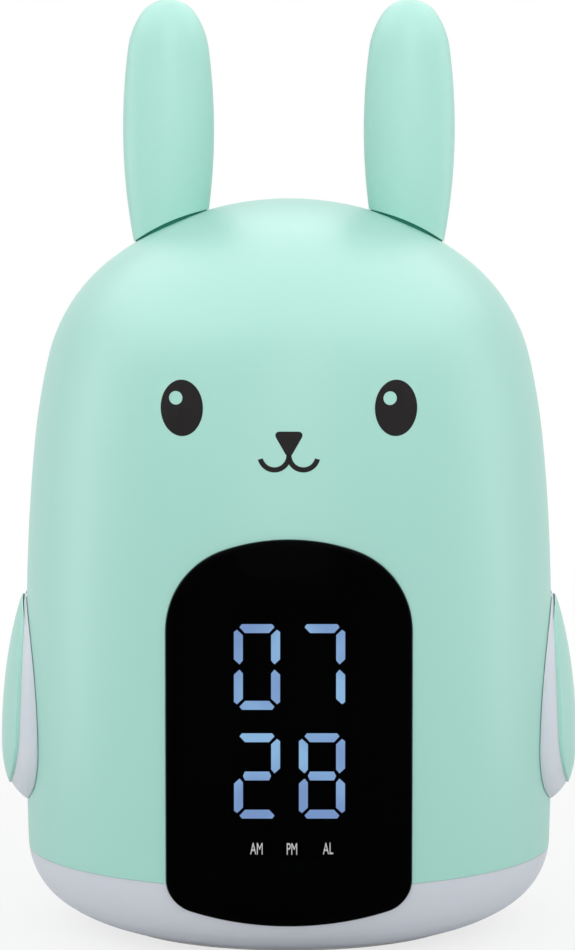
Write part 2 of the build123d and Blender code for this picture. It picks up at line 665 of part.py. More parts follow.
def segment_corners():
    """Corners of the seven segments about the middle of a digit, lettered a to g."""
    half_width = DIGIT_WIDTH / 2
    half_height = DIGIT_HEIGHT / 2
    inner = SEGMENT_WIDTH + SEGMENT_MITRE
    tip_along, tip_in = SEGMENT_TIP
    waist_inner, waist_tip, waist_outer = SEGMENT_WAIST
    top = [
        (half_width - SEGMENT_CORNER, half_height),
        (half_width - tip_along, half_height - tip_in),
        (half_width - inner, half_height - SEGMENT_WIDTH),
    ]
    top += [(0 - x, z) for x, z in reversed(top)]
    upper_right = [
        (half_width, half_height - SEGMENT_CORNER),
        (half_width - tip_in, half_height - tip_along),
        (half_width - SEGMENT_WIDTH, half_height - inner),
        (half_width - SEGMENT_WIDTH, waist_inner),
        (half_width - tip_along, waist_tip),
        (half_width, waist_outer),
    ]
    middle = [
        (half_width - inner, SEGMENT_WIDTH / 2),
        (half_width - SEGMENT_WIDTH, 0),
        (half_width - inner, 0 - SEGMENT_WIDTH / 2),
    ]
    middle += [(0 - x, z) for x, z in reversed(middle)]
    return {
        "a": top,
        "b": upper_right,
        "c": [(x, 0 - z) for x, z in reversed(upper_right)],
        "d": [(x, 0 - z) for x, z in reversed(top)],
        "e": [(0 - x, 0 - z) for x, z in upper_right],
        "f": [(0 - x, z) for x, z in reversed(upper_right)],
        "g": middle,
    }


lit_outlines = []
dark_outlines = []
for row_height, row_digits in zip(DIGIT_ROWS, DIGIT_PATTERNS):
    for column, digit in zip(DIGIT_COLUMNS, row_digits):
        for letter, corners in segment_corners().items():
            placed = [(column + x, row_height + z) for x, z in corners]
            lit = letter in LIT_SEGMENTS[digit]
            (lit_outlines if lit else dark_outlines).append(placed)
half_indicator = (INDICATOR_SIZE[0] / 2, INDICATOR_SIZE[1] / 2)
for column in INDICATOR_COLUMNS:
    dark_outlines.append([
        (column + x * half_indicator[0], INDICATOR_HEIGHT + z * half_indicator[1])
        for x, z in ((-1, -1), (1, -1), (1, 1), (-1, 1))
    ])
all_outlines = lit_outlines + dark_outlines
reflector_left = DIGIT_COLUMNS[0] - DIGIT_WIDTH / 2 - REFLECTOR_RIM
reflector_right = DIGIT_COLUMNS[1] + DIGIT_WIDTH / 2 + REFLECTOR_RIM
reflector_low = INDICATOR_HEIGHT - half_indicator[1] - REFLECTOR_RIM / 2
reflector_high = DIGIT_ROWS[0] + DIGIT_HEIGHT / 2 + REFLECTOR_RIM
segment_seat = SEGMENT_LED_SIZE[2] + STOP_GAP


def segment_bars(outlines, start, depth):
    """One bar for each outline, from the given distance in front of the board."""
    with BuildPart() as bars:
        with BuildSketch(Plane.XZ.offset(display_board_face + start)):
            for corners in outlines:
                Polygon(*corners, align=None)
        extrude(amount=depth)
    return bars.part


with BuildPart() as digit_reflector:
    with BuildSketch(Plane.XZ.offset(display_board_face)):
        middle_of_block = ((reflector_left + reflector_right) / 2, (reflector_low + reflector_high) / 2)
        with Locations(middle_of_block):
            RectangleRounded(
                reflector_right - reflector_left, reflector_high - reflector_low, REFLECTOR_CORNER
            )
    extrude(amount=REFLECTOR_DEPTH)
    add(segment_bars(all_outlines, 0, REFLECTOR_DEPTH), mode=Mode.SUBTRACT)
save(digit_reflector.part, "digit_reflector")

bar_depth = REFLECTOR_DEPTH - segment_seat
save(segment_bars(lit_outlines, segment_seat, bar_depth), "lit_segments")
save(segment_bars(dark_outlines, segment_seat, bar_depth), "unlit_segments")

with BuildPart() as display_leds:
    with BuildSketch(Plane.XZ.offset(display_board_face)):
        for corners in all_outlines:
            middle_x = sum(x for x, z in corners) / len(corners)
            middle_z = sum(z for x, z in corners) / len(corners)
            with Locations((middle_x, middle_z)):
                Rectangle(SEGMENT_LED_SIZE[0], SEGMENT_LED_SIZE[1])
    extrude(amount=SEGMENT_LED_SIZE[2])
save(display_leds.part, "display_leds")

with BuildPart() as display_board:
    with BuildSketch(Plane.XZ.offset(display_board_face - BOARD_THICK)):
        with Locations((0, display_board_middle)):
            RectangleRounded(*DISPLAY_BOARD_SIZE, BOARD_CORNER)
        with Locations(*display_screw_spots):
            Circle(BOARD_SCREW[2] / 2 + SLIDE_GAP, mode=Mode.SUBTRACT)
    extrude(amount=BOARD_THICK)
save(display_board.part, "display_board")


def placed_screws(fastener, spots, out):
    """Copies of a screw with their heads' undersides at the spots, heads pointing out."""
    with BuildPart() as group:
        with Locations(*[Plane(origin=spot, z_dir=out).location for spot in spots]):
            add(fastener)
    return group.part


display_back = display_board_face - BOARD_THICK
display_spots = [(x, -display_back, z) for x, z in display_screw_spots]
save(placed_screws(board_screw, display_spots, (0, 1, 0)), "display_screws")

# ---------------------------------------------------------------- ears
ear_seat = body_solid(-EAR_SEAT_GAP)
ear_x = EAR_SPACING / 2
ear_outer = ear_solid(0)
post_end = EAR_BOSS_FACE + STOP_GAP

with BuildPart() as ear_ribs:
    with Locations((ear_x, 0, EAR_WIDEST + EAR_RIB[1] / 4)):
        Box(2 * EAR_HALF_WIDTH, *EAR_RIB)
    add(ear_solid(EAR_WALL / 2), mode=Mode.INTERSECT)

# Hollow under the root, so that the ear stands on its two ends.
root_half = EAR_HALF_WIDTH - EAR_SEAT_GAP
with BuildPart() as ear_relief:
    with BuildSketch(Plane.XZ):
        with BuildLine():
            inner_end = (ear_x - root_half, crown_height(ear_x - root_half))
            outer_end = (ear_x + root_half, crown_height(ear_x + root_half))
            crest = (ear_x, crown_height(ear_x) + EAR_SEAT_GAP + EAR_RELIEF)
            ThreePointArc(inner_end, crest, outer_end)
            Line(outer_end, inner_end)
        make_face()
    extrude(amount=EAR_HALF_WIDTH, both=True)

with BuildPart() as right_ear:
    add(ear_outer)
    add(ear_solid(EAR_WALL), mode=Mode.SUBTRACT)
    add(ear_ribs.part)
    with BuildSketch(Plane.XY.offset(EAR_WIDEST - 2)):
        with Locations((ear_x - EAR_PIN_OFFSET, 0)):
            Circle(EAR_PIN / 2)
    extrude(amount=EAR_BOSS_FACE + EAR_PIN_DEPTH - EAR_WIDEST)
    add(ear_seat, mode=Mode.SUBTRACT)
    add(ear_relief.part, mode=Mode.SUBTRACT)
    with BuildSketch(Plane.XY.offset(post_end)):
        with Locations((ear_x, 0)):
            Circle(EAR_POST / 2)
    extrude(amount=EAR_WIDEST + EAR_POST_REACH - post_end)
    with BuildSketch(Plane.XY.offset(EAR_BOSS_FACE + EAR_PIN_DEPTH)):
        with Locations((ear_x - EAR_PIN_OFFSET, 0)):
            Circle(EAR_PIN / 2)
    extrude(amount=EAR_PIN_LENGTH)
    with BuildSketch(Plane.XY.offset(post_end)):
        with Locations((ear_x, 0)):
            Circle(case_pilot)
    extrude(amount=CASE_SCREW[3], mode=Mode.SUBTRACT)
save(right_ear.part, "right_ear")

with BuildPart() as left_ear:
    mirror(right_ear.part, about=Plane.YZ)
save(left_ear.part, "left_ear")

with BuildPart() as ear_washers:
    with BuildSketch(Plane.XY.offset(EAR_BOSS_FACE - EAR_WASHER[1])):
        with GridLocations(EAR_SPACING, 0, 2, 1):
            Circle(EAR_WASHER[0] / 2)
            Circle(CASE_SCREW[2] / 2 + SLIDE_GAP, mode=Mode.SUBTRACT)
    extrude(amount=EAR_WASHER[1])
save(ear_washers.part, "ear_washers")

washer_face = EAR_BOSS_FACE - EAR_WASHER[1]
ear_screw_spots = [(side * ear_x, 0, washer_face) for side in (-1, 1)]
save(placed_screws(case_screw, ear_screw_spots, (0, 0, -1)), "ear_screws")

# ---------------------------------------------------------------- flank pads
cap_outer = pad_solid(-CAP_PROUD)
leg_spots = [(side * CAP_LEG_SPACING / 2, PAD_MIDDLE) for side in (-1, 1)]
opening_face = sqrt(outline_radius(PAD_MIDDLE) ** 2 - (CAP_LEG_SPACING / 2 + 1) ** 2)
hook_top = opening_face - STOP_GAP
switch_tip = PAD_BOARD_FACE + PAD_SWITCH_HEIGHT
plunger_end = switch_tip + CAP_TRAVEL + FIT_GAP

with BuildPart() as pad_floor_limit:
    add(body_solid(-PAD_FLOOR))
    add(pad_solid(-CAP_PROUD, CAP_WALL + CAP_TRAVEL + CAP_WELL_GAP), mode=Mode.INTERSECT)

with BuildPart() as cap_well:
    add(cap_prism(SLIDE_GAP))
    add(pad_floor_limit.part, mode=Mode.SUBTRACT)

with BuildPart() as right_arm_diffuser:
    add(pad_solid(0))
    add(body_solid(-TRIM_GAP), mode=Mode.SUBTRACT)
    add(cap_well.part, mode=Mode.SUBTRACT)
    with BuildSketch(flank_plane(PAD_BOARD_FACE)):
        with Locations(*pad_boss_spots):
            Circle(PAD_BOSS / 2)
    extrude(amount=PAD_CENTRE + PAD_FLOOR / 2 - PAD_BOARD_FACE)
    with BuildSketch(flank_plane(PAD_BOARD_FACE)):
        with Locations(*pad_boss_spots):
            Circle(board_pilot)
    extrude(amount=board_pilot_depth, mode=Mode.SUBTRACT)
    with BuildSketch(flank_plane(PAD_BOARD_FACE)):
        with Locations((0, PAD_MIDDLE)):
            Circle(PLUNGER / 2 + SLIDE_GAP)
        for spot in leg_spots:
            with Locations(spot):
                Rectangle(LEG_SIZE[0] + 2 * SLIDE_GAP, LEG_SIZE[1] + 2 * SLIDE_GAP)
    extrude(amount=REACH, mode=Mode.SUBTRACT)
save(right_arm_diffuser.part, "right_arm_diffuser")

with BuildPart() as cap_stems:
    with BuildSketch(flank_plane(plunger_end)):
        with Locations((0, PAD_MIDDLE)):
            Circle(PLUNGER / 2)
    extrude(amount=REACH)
    with BuildSketch(flank_plane(hook_top - HOOK_LENGTH)):
        with Locations(*leg_spots):
            Rectangle(*LEG_SIZE)
    extrude(amount=REACH)
    with BuildSketch(flank_plane(hook_top - HOOK_LENGTH)):
        for side, height in ((-1, PAD_MIDDLE), (1, PAD_MIDDLE)):
            with Locations((side * (CAP_LEG_SPACING / 2 + HOOK_OVERHANG / 2), height)):
                Rectangle(LEG_SIZE[0] + HOOK_OVERHANG, LEG_SIZE[1])
    extrude(amount=HOOK_LENGTH)

with BuildPart() as cap_stems_trimmed:
    add(cap_stems.part)
    add(pad_solid(-CAP_PROUD, CAP_WALL / 2).fuse(body_solid(0)), mode=Mode.INTERSECT)
with BuildPart() as right_arm_button:
    add(cap_outer)
    add(pad_solid(-CAP_PROUD, CAP_WALL), mode=Mode.SUBTRACT)
    add(cap_prism(0), mode=Mode.INTERSECT)
    add(body_solid(-CAP_TRAVEL - STOP_GAP), mode=Mode.SUBTRACT)
    add(cap_stems_trimmed.part)
save(right_arm_button.part, "right_arm_button")

with BuildPart() as left_arm_diffuser:
    mirror(right_arm_diffuser.part, about=Plane.YZ)
save(left_arm_diffuser.part, "left_arm_diffuser")

with BuildPart() as left_arm_button:
    mirror(right_arm_button.part, about=Plane.YZ)
save(left_arm_button.part, "left_arm_button")

with BuildPart() as right_arm_board:
    with BuildSketch(flank_plane(PAD_BOARD_FACE - BOARD_THICK)):
        with Locations((0, PAD_MIDDLE)):
            RectangleRounded(*PAD_BOARD_SIZE, 2 * BOARD_CORNER)
        with Locations(*pad_boss_spots):
            Circle(BOARD_SCREW[2] / 2 + SLIDE_GAP, mode=Mode.SUBTRACT)
    extrude(amount=BOARD_THICK)
save(right_arm_board.part, "right_arm_board")

with BuildPart() as left_arm_board:
    mirror(right_arm_board.part, about=Plane.YZ)
save(left_arm_board.part, "left_arm_board")

with BuildPart() as arm_switches:
    with BuildSketch(flank_plane(PAD_BOARD_FACE)):
        with Locations((0, PAD_MIDDLE)):
            Rectangle(SWITCH_BODY, SWITCH_BODY)
    extrude(amount=SWITCH_BODY_HEIGHT)
    with BuildSketch(flank_plane(PAD_BOARD_FACE)):
        with Locations((0, PAD_MIDDLE)):
            Circle(SWITCH_BUTTON / 2)
    extrude(amount=PAD_SWITCH_HEIGHT)
    mirror(about=Plane.YZ)
save(arm_switches.part, "arm_switches")

with BuildPart() as arm_leds:
    with BuildSketch(flank_plane(PAD_BOARD_FACE)):
        with Locations((0, PAD_MIDDLE)):
            with GridLocations(*[size - PAD_LED_MARGIN for size in PAD_LIGHT_OPENING], 2, 2):
                Rectangle(LED_SIZE[0], LED_SIZE[1])
    extrude(amount=LED_SIZE[2])
    mirror(about=Plane.YZ)
save(arm_leds.part, "arm_leds")

pad_back = PAD_BOARD_FACE - BOARD_THICK
right_arm_screws = placed_screws(board_screw, [(pad_back, y, z) for y, z in pad_boss_spots], (-1, 0, 0))
with BuildPart() as arm_screws:
    add(right_arm_screws)
    mirror(about=Plane.YZ)
save(arm_screws.part, "arm_screws")

# ---------------------------------------------------------------- base plate and batteries
door_recess = (bay_width + 2 * DOOR_LIP, BAY_LENGTH + 2 * DOOR_LIP)
door_top = UNDERSIDE + DOOR_THICK
cell_axis = door_top + STOP_GAP + CELL / 2
bay_ceiling = cell_axis + CELL / 2 + STOP_GAP
screw_seat = UNDERSIDE + CASE_SCREW[1] + HEAD_SUNK
foot_spots = [(FOOT_CIRCLE, 0), (0, FOOT_CIRCLE), (-FOOT_CIRCLE, 0), (0, -FOOT_CIRCLE)]

with BuildPart() as bottom_plate:
    with BuildSketch(Plane.XY.offset(UNDERSIDE)):
        Circle(PLATE_RADIUS)
    extrude(amount=PLATE_THICK)
    chamfer(bottom_plate.edges().group_by(Axis.Z)[0], PLATE_EDGE)
    with BuildSketch(Plane.XY.offset(plate_top)):
        Rectangle(bay_width + 2 * BAY_WALL, BAY_LENGTH + 2 * BAY_WALL)
    extrude(amount=bay_ceiling + BAY_WALL - plate_top)
    with BuildSketch(Plane.XY.offset(UNDERSIDE)):
        RectangleRounded(*door_recess, DOOR_CORNER)
    extrude(amount=DOOR_THICK + DOOR_SEAT_GAP, mode=Mode.SUBTRACT)
    with BuildSketch(Plane.XY.offset(UNDERSIDE)):
        Rectangle(bay_width, BAY_LENGTH)
    extrude(amount=bay_ceiling - UNDERSIDE, mode=Mode.SUBTRACT)
    # Pockets for the door's tabs, open to the bay, and a finger notch at the other end.
    with BuildSketch(Plane.XY.offset(door_top - TAB_SIZE[2] - STOP_GAP)):
        with Locations((0, -BAY_LENGTH / 2 - DOOR_LIP)):
            with GridLocations(TAB_SPACING, 0, 2, 1):
                Rectangle(TAB_SIZE[0] + 2 * SLIDE_GAP, 2 * (TAB_SIZE[1] + SLIDE_GAP))
    extrude(amount=UNDERSIDE + TAB_POCKET_ROOF - door_top + TAB_SIZE[2] + STOP_GAP, mode=Mode.SUBTRACT)
    with BuildSketch(Plane.XY.offset(UNDERSIDE)):
        with Locations((0, BAY_LENGTH / 2 + DOOR_LIP)):
            SlotOverall(NOTCH_SIZE[0], 2 * NOTCH_SIZE[1])
    extrude(amount=NOTCH_SIZE[2], mode=Mode.SUBTRACT)
    with BuildSketch(Plane.XY):
        with Locations(*foot_spots):
            Circle(FOOT / 2 + SLIDE_GAP / 2)
    extrude(amount=FOOT_THICK, mode=Mode.SUBTRACT)
    with BuildSketch(Plane.XY.offset(UNDERSIDE)):
        with Locations(*base_screw_spots):
            Circle(CASE_SCREW[0] / 2 + SLIDE_GAP)
    extrude(amount=screw_seat - UNDERSIDE, mode=Mode.SUBTRACT)
    with BuildSketch(Plane.XY.offset(UNDERSIDE)):
        with Locations(*base_screw_spots):
            Circle(CASE_SCREW[2] / 2 + SLIDE_GAP)
    extrude(amount=PLATE_THICK, mode=Mode.SUBTRACT)
save(bottom_plate.part, "bottom_plate")

base_screws = placed_screws(case_screw, [(x, y, screw_seat) for x, y in base_screw_spots], (0, 0, -1))
save(base_screws, "base_screws")

with BuildPart() as foot_pads:
    with BuildSketch(Plane.XY):
        with Locations(*foot_spots):
            Circle(FOOT / 2)
    extrude(amount=FOOT_THICK)
    chamfer(foot_pads.edges().group_by(Axis.Z)[0], FOOT_EDGE)
save(foot_pads.part, "foot_pads")

with BuildPart() as battery_door:
    with BuildSketch(Plane.XY.offset(UNDERSIDE)):
        RectangleRounded(*[size - 2 * DOOR_GAP for size in door_recess], DOOR_CORNER - DOOR_GAP)
    extrude(amount=DOOR_THICK)
    with BuildSketch(Plane.XY.offset(door_top - TAB_SIZE[2])):
        with Locations((0, -BAY_LENGTH / 2 - DOOR_LIP + DOOR_GAP)):
            with GridLocations(TAB_SPACING, 0, 2, 1):
                Rectangle(TAB_SIZE[0], 2 * TAB_SIZE[1])
    extrude(amount=TAB_SIZE[2])
save(battery_door.part, "battery_door")

middle_cell = (CELL_COUNT - 1) / 2
cells = [((index - middle_cell) * CELL_PITCH, (-1) ** index) for index in range(CELL_COUNT)]
plus_face = BAY_LENGTH / 2 - CONTACT_THICK
minus_end = plus_face - CELL_NUB - CELL_LENGTH

with BuildPart() as battery_cells:
    for cell_x, way in cells:
        can_start = (cell_x, way * minus_end, cell_axis)
        with BuildSketch(Plane(origin=can_start, z_dir=(0, way, 0))):
            Circle(CELL / 2 - FIT_GAP)
        extrude(amount=CELL_LENGTH)
        nub_start = (cell_x, way * (plus_face - CELL_NUB), cell_axis)
        with BuildSketch(Plane(origin=nub_start, z_dir=(0, way, 0))):
            Circle(CELL / 4)
        extrude(amount=CELL_NUB)
save(battery_cells.part, "battery_cells")

with BuildPart() as plus_contacts:
    for cell_x, way in cells:
        with Locations((cell_x, way * (plus_face + CONTACT_THICK / 2), cell_axis)):
            Box(CONTACT_SIZE, CONTACT_THICK, CONTACT_SIZE)
save(plus_contacts.part, "plus_contacts")

with BuildPart() as minus_contacts:
    for cell_x, way in cells:
        wall = -way * BAY_LENGTH / 2
        with Locations((cell_x, wall + way * CONTACT_THICK / 2, cell_axis)):
            Box(CONTACT_SIZE, CONTACT_THICK, CONTACT_SIZE)
        with BuildSketch(Plane.YZ.offset(cell_x - LEAF_WIDTH / 2)):
            with BuildLine():
                foot_y = wall + way * CONTACT_THICK
                crest_y = way * (minus_end - FIT_GAP)
                low = cell_axis - LEAF_HALF
                high = cell_axis + LEAF_HALF
                outer = ThreePointArc((foot_y, low), (crest_y, cell_axis), (foot_y, high))
                inner = ThreePointArc(
                    (foot_y, low + CONTACT_THICK),
                    (crest_y - way * CONTACT_THICK, cell_axis),
                    (foot_y, high - CONTACT_THICK),
                )
                Line(outer @ 0, inner @ 0)
                Line(outer @ 1, inner @ 1)
            make_face()
        extrude(amount=LEAF_WIDTH)
save(minus_contacts.part, "minus_contacts")

# ---------------------------------------------------------------- chassis and light ring
chassis_top = CHASSIS_HEIGHT + CHASSIS_THICK
boss_foot = plate_top + FIT_GAP + LEDGE_THICK + FIT_GAP
ring_middle = (RING_INNER_RADIUS + RING_OUTER_RADIUS) / 2
display_notch = display_back - BOARD_SCREW[1]

with BuildPart() as inner_chassis:
    with BuildSketch(Plane.XY.offset(CHASSIS_HEIGHT)):
        Circle(CHASSIS_RADIUS)
        with Locations((0, -display_notch - CHASSIS_RADIUS / 2)):
            Rectangle(DISPLAY_BOARD_SIZE[0] + DISPLAY_NOTCH_GAP, CHASSIS_RADIUS, mode=Mode.SUBTRACT)
        with Locations(*CABLE_SLOT_PLACES):
            SlotOverall(*CABLE_SLOT, mode=Mode.SUBTRACT)
    extrude(amount=CHASSIS_THICK)
    with BuildSketch(Plane.XY.offset(boss_foot)):
        with Locations(*base_screw_spots):
            Circle(CHASSIS_BOSS / 2)
    extrude(amount=CHASSIS_HEIGHT - boss_foot)
    with BuildSketch(Plane.XY.offset(chassis_top)):
        with Locations(*STANDOFF_SPOTS):
            Circle(STANDOFF / 2)
    extrude(amount=STANDOFF_HEIGHT)
    with BuildSketch(Plane.XY.offset(chassis_top)):
        with PolarLocations(ring_middle, 3, RING_SCREW_ANGLES[0]):
            Circle(STANDOFF / 2)
    extrude(amount=BOARD_SCREW[3] - BOARD_THICK)
    with BuildSketch(Plane.XY.offset(boss_foot)):
        with Locations(*base_screw_spots):
            Circle(case_pilot)
    extrude(amount=CASE_SCREW[3], mode=Mode.SUBTRACT)
    with BuildSketch(Plane.XY.offset(CHASSIS_HEIGHT)):
        with PolarLocations(ring_middle, 3, RING_SCREW_ANGLES[0]):
            Circle(board_pilot)
    extrude(amount=board_pilot_depth, mode=Mode.SUBTRACT)
    with BuildSketch(Plane.XY.offset(chassis_top + STANDOFF_HEIGHT - board_pilot_depth)):
        with Locations(*STANDOFF_SPOTS):
            Circle(board_pilot)
    extrude(amount=board_pilot_depth, mode=Mode.SUBTRACT)
    with BuildSketch(Plane.XY.offset(CHASSIS_HEIGHT)):
        with PolarLocations(DOME_BOSS_CIRCLE, 4, 45):
            Circle(CASE_SCREW[2] / 2 + SLIDE_GAP)
    extrude(amount=CHASSIS_THICK, mode=Mode.SUBTRACT)
save(inner_chassis.part, "inner_chassis")

corner = DOME_BOSS_CIRCLE * cos(radians(45))
chassis_spots = [(x * corner, y * corner, CHASSIS_HEIGHT) for x in (-1, 1) for y in (-1, 1)]
save(placed_screws(case_screw, chassis_spots, (0, 0, -1)), "chassis_screws")

ring_board_low = CHASSIS_HEIGHT - BOARD_THICK
with BuildPart() as light_ring_board:
    with BuildSketch(Plane.XY.offset(ring_board_low)):
        Circle(RING_OUTER_RADIUS)
        Circle(RING_INNER_RADIUS, mode=Mode.SUBTRACT)
        with PolarLocations(ring_middle, 3, RING_SCREW_ANGLES[0]):
            Circle(BOARD_SCREW[2] / 2 + SLIDE_GAP, mode=Mode.SUBTRACT)
    extrude(amount=BOARD_THICK)
save(light_ring_board.part, "light_ring_board")

with BuildPart() as light_ring_leds:
    with BuildSketch(Plane.XY.offset(ring_board_low - LED_SIZE[2])):
        with PolarLocations(ring_middle, RING_LED_COUNT):
            Rectangle(LED_SIZE[1], LED_SIZE[0])
    extrude(amount=LED_SIZE[2])
save(light_ring_leds.part, "light_ring_leds")

ring_spots = [
    (ring_middle * cos(radians(angle)), ring_middle * sin(radians(angle)), ring_board_low)
    for angle in RING_SCREW_ANGLES
]
save(placed_screws(board_screw, ring_spots, (0, 0, -1)), "light_ring_screws")

# ---------------------------------------------------------------- main board and inlet
board_top = BOARD_LOW + BOARD_THICK
board_rear = MAIN_BOARD_MIDDLE + MAIN_BOARD_SIZE[1] / 2
tab_end = SOCKET_MOUTH - BOARD_TAB[1]

with BuildPart() as main_board:
    with BuildSketch(Plane.XY.offset(BOARD_LOW)):
        with Locations((0, MAIN_BOARD_MIDDLE)):
            Rectangle(*MAIN_BOARD_SIZE)
        with Locations((0, (board_rear + tab_end) / 2)):
            Rectangle(BOARD_TAB[0], tab_end - board_rear)
        with Locations(*STANDOFF_SPOTS):
            Circle(BOARD_SCREW[2] / 2 + SLIDE_GAP, mode=Mode.SUBTRACT)
    extrude(amount=BOARD_THICK)
save(main_board.part, "main_board")

main_board_spots = [(x, y, board_top) for x, y in STANDOFF_SPOTS]
save(placed_screws(board_screw, main_board_spots, (0, 0, 1)), "main_board_screws")

# Controller, memory, amplifier, four plug housings, two capacitors: x, y, length, width, height.
BLOCKS = (
    (0, 6, 12, 12, 1.4),
    (-14, 10, 6, 5, 1.5),
    (14, 12, 5, 4, 1.5),
    (0, -19, 16, 4.5, 5.6),
    (-22, 8, 4.5, 12, 5.6),
    (22, 8, 4.5, 12, 5.6),
    (14, 38, 10, 4.5, 5.6),
)
CAPACITORS = ((-12, 36), (-12, 27))
CAPACITOR_SIZE = (6.3, 7.0)
with BuildPart() as main_board_parts:
    for x, y, length, width, height in BLOCKS:
        with BuildSketch(Plane.XY.offset(board_top)):
            with Locations((x, y)):
                Rectangle(length, width)
        extrude(amount=height)
    with BuildSketch(Plane.XY.offset(board_top)):
        with Locations(*CAPACITORS):
            Circle(CAPACITOR_SIZE[0] / 2)
    extrude(amount=CAPACITOR_SIZE[1])
save(main_board_parts.part, "main_board_parts")

socket_rear = SOCKET_MOUTH - SOCKET_LENGTH
with BuildPart() as inlet_shell:
    with BuildSketch(BEHIND.offset(socket_rear)):
        with Locations((0, SOCKET_HEIGHT)):
            SlotOverall(*SOCKET_SIZE)
    extrude(amount=SOCKET_LENGTH)
    with BuildSketch(BEHIND.offset(socket_rear + SOCKET_BACK)):
        with Locations((0, SOCKET_HEIGHT)):
            SlotOverall(SOCKET_SIZE[0] - 2 * SOCKET_WALL, SOCKET_SIZE[1] - 2 * SOCKET_WALL)
    extrude(amount=SOCKET_LENGTH, mode=Mode.SUBTRACT)
save(inlet_shell.part, "inlet_shell")

with BuildPart() as inlet_tongue:
    with BuildSketch(BEHIND.offset(socket_rear + SOCKET_BACK)):
        with Locations((0, SOCKET_HEIGHT)):
            Rectangle(*SOCKET_TONGUE)
    extrude(amount=SOCKET_LENGTH - 2 * SOCKET_BACK)
save(inlet_tongue.part, "inlet_tongue")

# ---------------------------------------------------------------- rear keys
key_skin = body_solid(-KEY_PROUD)
flange_outer = KEY_COLLAR_FACE - STOP_GAP
flange_inner = flange_outer - KEY_FLANGE_THICK
key_switch_tip = flange_inner - KEY_TRAVEL - FIT_GAP

for name, spot in zip(KEY_NAMES, key_spots):
    with BuildPart() as key:
        with BuildSketch(BEHIND.offset(flange_outer)):
            with Locations(spot):
                Circle(KEY / 2)
        extrude(amount=REACH)
        add(key_skin, mode=Mode.INTERSECT)
        fillet(key.edges().sort_by(Axis.Y)[-1], KEY_EDGE)
        with BuildSketch(BEHIND.offset(flange_inner)):
            with Locations(spot):
                Circle(KEY_FLANGE / 2)
        extrude(amount=KEY_FLANGE_THICK)
    save(key.part, name)

with BuildPart() as rear_board:
    with BuildSketch(BEHIND.offset(REAR_BOARD_FACE - BOARD_THICK)):
        with Locations((0, KEY_HEIGHT)):
            RectangleRounded(*REAR_BOARD_SIZE, BOARD_CORNER)
        with Locations(*REAR_BOSS_SPOTS):
            Circle(BOARD_SCREW[2] / 2 + SLIDE_GAP, mode=Mode.SUBTRACT)
    extrude(amount=BOARD_THICK)
save(rear_board.part, "rear_board")

with BuildPart() as key_switches:
    with BuildSketch(BEHIND.offset(REAR_BOARD_FACE)):
        with Locations(*key_spots):
            Rectangle(SWITCH_BODY, SWITCH_BODY)
    extrude(amount=SWITCH_BODY_HEIGHT)
    with BuildSketch(BEHIND.offset(REAR_BOARD_FACE)):
        with Locations(*key_spots):
            Circle(SWITCH_BUTTON / 2)
    extrude(amount=key_switch_tip - REAR_BOARD_FACE)
save(key_switches.part, "key_switches")

rear_back = REAR_BOARD_FACE - BOARD_THICK
rear_board_spots = [(x, rear_back, z) for x, z in REAR_BOSS_SPOTS]
save(placed_screws(board_screw, rear_board_spots, (0, -1, 0)), "rear_board_screws")

# ---------------------------------------------------------------- speaker
speaker_section = Plane(origin=(0, 0, SPEAKER_HEIGHT), x_dir=(0, 0, 1), z_dir=(-1, 0, 0))
speaker_axis = Axis((0, 0, SPEAKER_HEIGHT), (0, 1, 0))
rim = SPEAKER / 2
flange_back = SPEAKER_FACE - SPEAKER_FLANGE
basket_back = SPEAKER_FACE - SPEAKER_DEPTH
mouth = rim - SPEAKER_SURROUND
throat = rim / 3

with BuildPart() as speaker_basket:
    with BuildSketch(speaker_section):
        with BuildLine():
            Polyline(
                (rim, SPEAKER_FACE),
                (rim, flange_back),
                (mouth + 1, flange_back),
                (rim * 2 / 3, basket_back),
                (throat - 2, basket_back),
                (throat - 2, basket_back + BASKET_WALL),
                (rim * 2 / 3 - BASKET_WALL, basket_back + BASKET_WALL),
                (mouth, flange_back + BASKET_WALL),
                (mouth, SPEAKER_FACE),
                close=True,
            )
        make_face()
    revolve(axis=speaker_axis)
save(speaker_basket.part, "speaker_basket")

with BuildPart() as speaker_cone:
    with BuildSketch(speaker_section):
        with BuildLine():
            cap_top = SPEAKER_FACE - CONE_CAP_DEPTH
            cap = JernArc((0, cap_top), (1, 0), CONE_CAP_RADIUS, -CONE_CAP_TURN)
            inner_cap = JernArc((0, cap_top - CONE_THICK), (1, 0), CONE_CAP_RADIUS, -CONE_CAP_TURN)
            edge = (mouth - CONE_RIM_GAP, SPEAKER_FACE - CONE_RIM_GAP)
            Polyline(cap @ 1, edge, (edge[0], edge[1] - CONE_THICK), inner_cap @ 1)
            Line(cap @ 0, inner_cap @ 0)
        make_face()
    revolve(axis=speaker_axis)
save(speaker_cone.part, "speaker_cone")

with BuildPart() as speaker_magnet:
    with BuildSketch(BEHIND.offset(basket_back - SPEAKER_MAGNET_THICK)):
        with Locations((0, SPEAKER_HEIGHT)):
            Circle(SPEAKER_MAGNET / 2)
    extrude(amount=SPEAKER_MAGNET_THICK)
save(speaker_magnet.part, "speaker_magnet")

speaker_spots = [
    (
        -speaker_screw_circle * cos(radians(angle)),
        flange_back,
        SPEAKER_HEIGHT + speaker_screw_circle * sin(radians(angle)),
    )
    for angle in (90, 210, 330)
]
save(placed_screws(board_screw, speaker_spots, (0, -1, 0)), "speaker_screws")
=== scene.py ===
import math

import bmesh
import bpy
from mathutils import Matrix, Vector
from mathutils.bvhtree import BVHTree


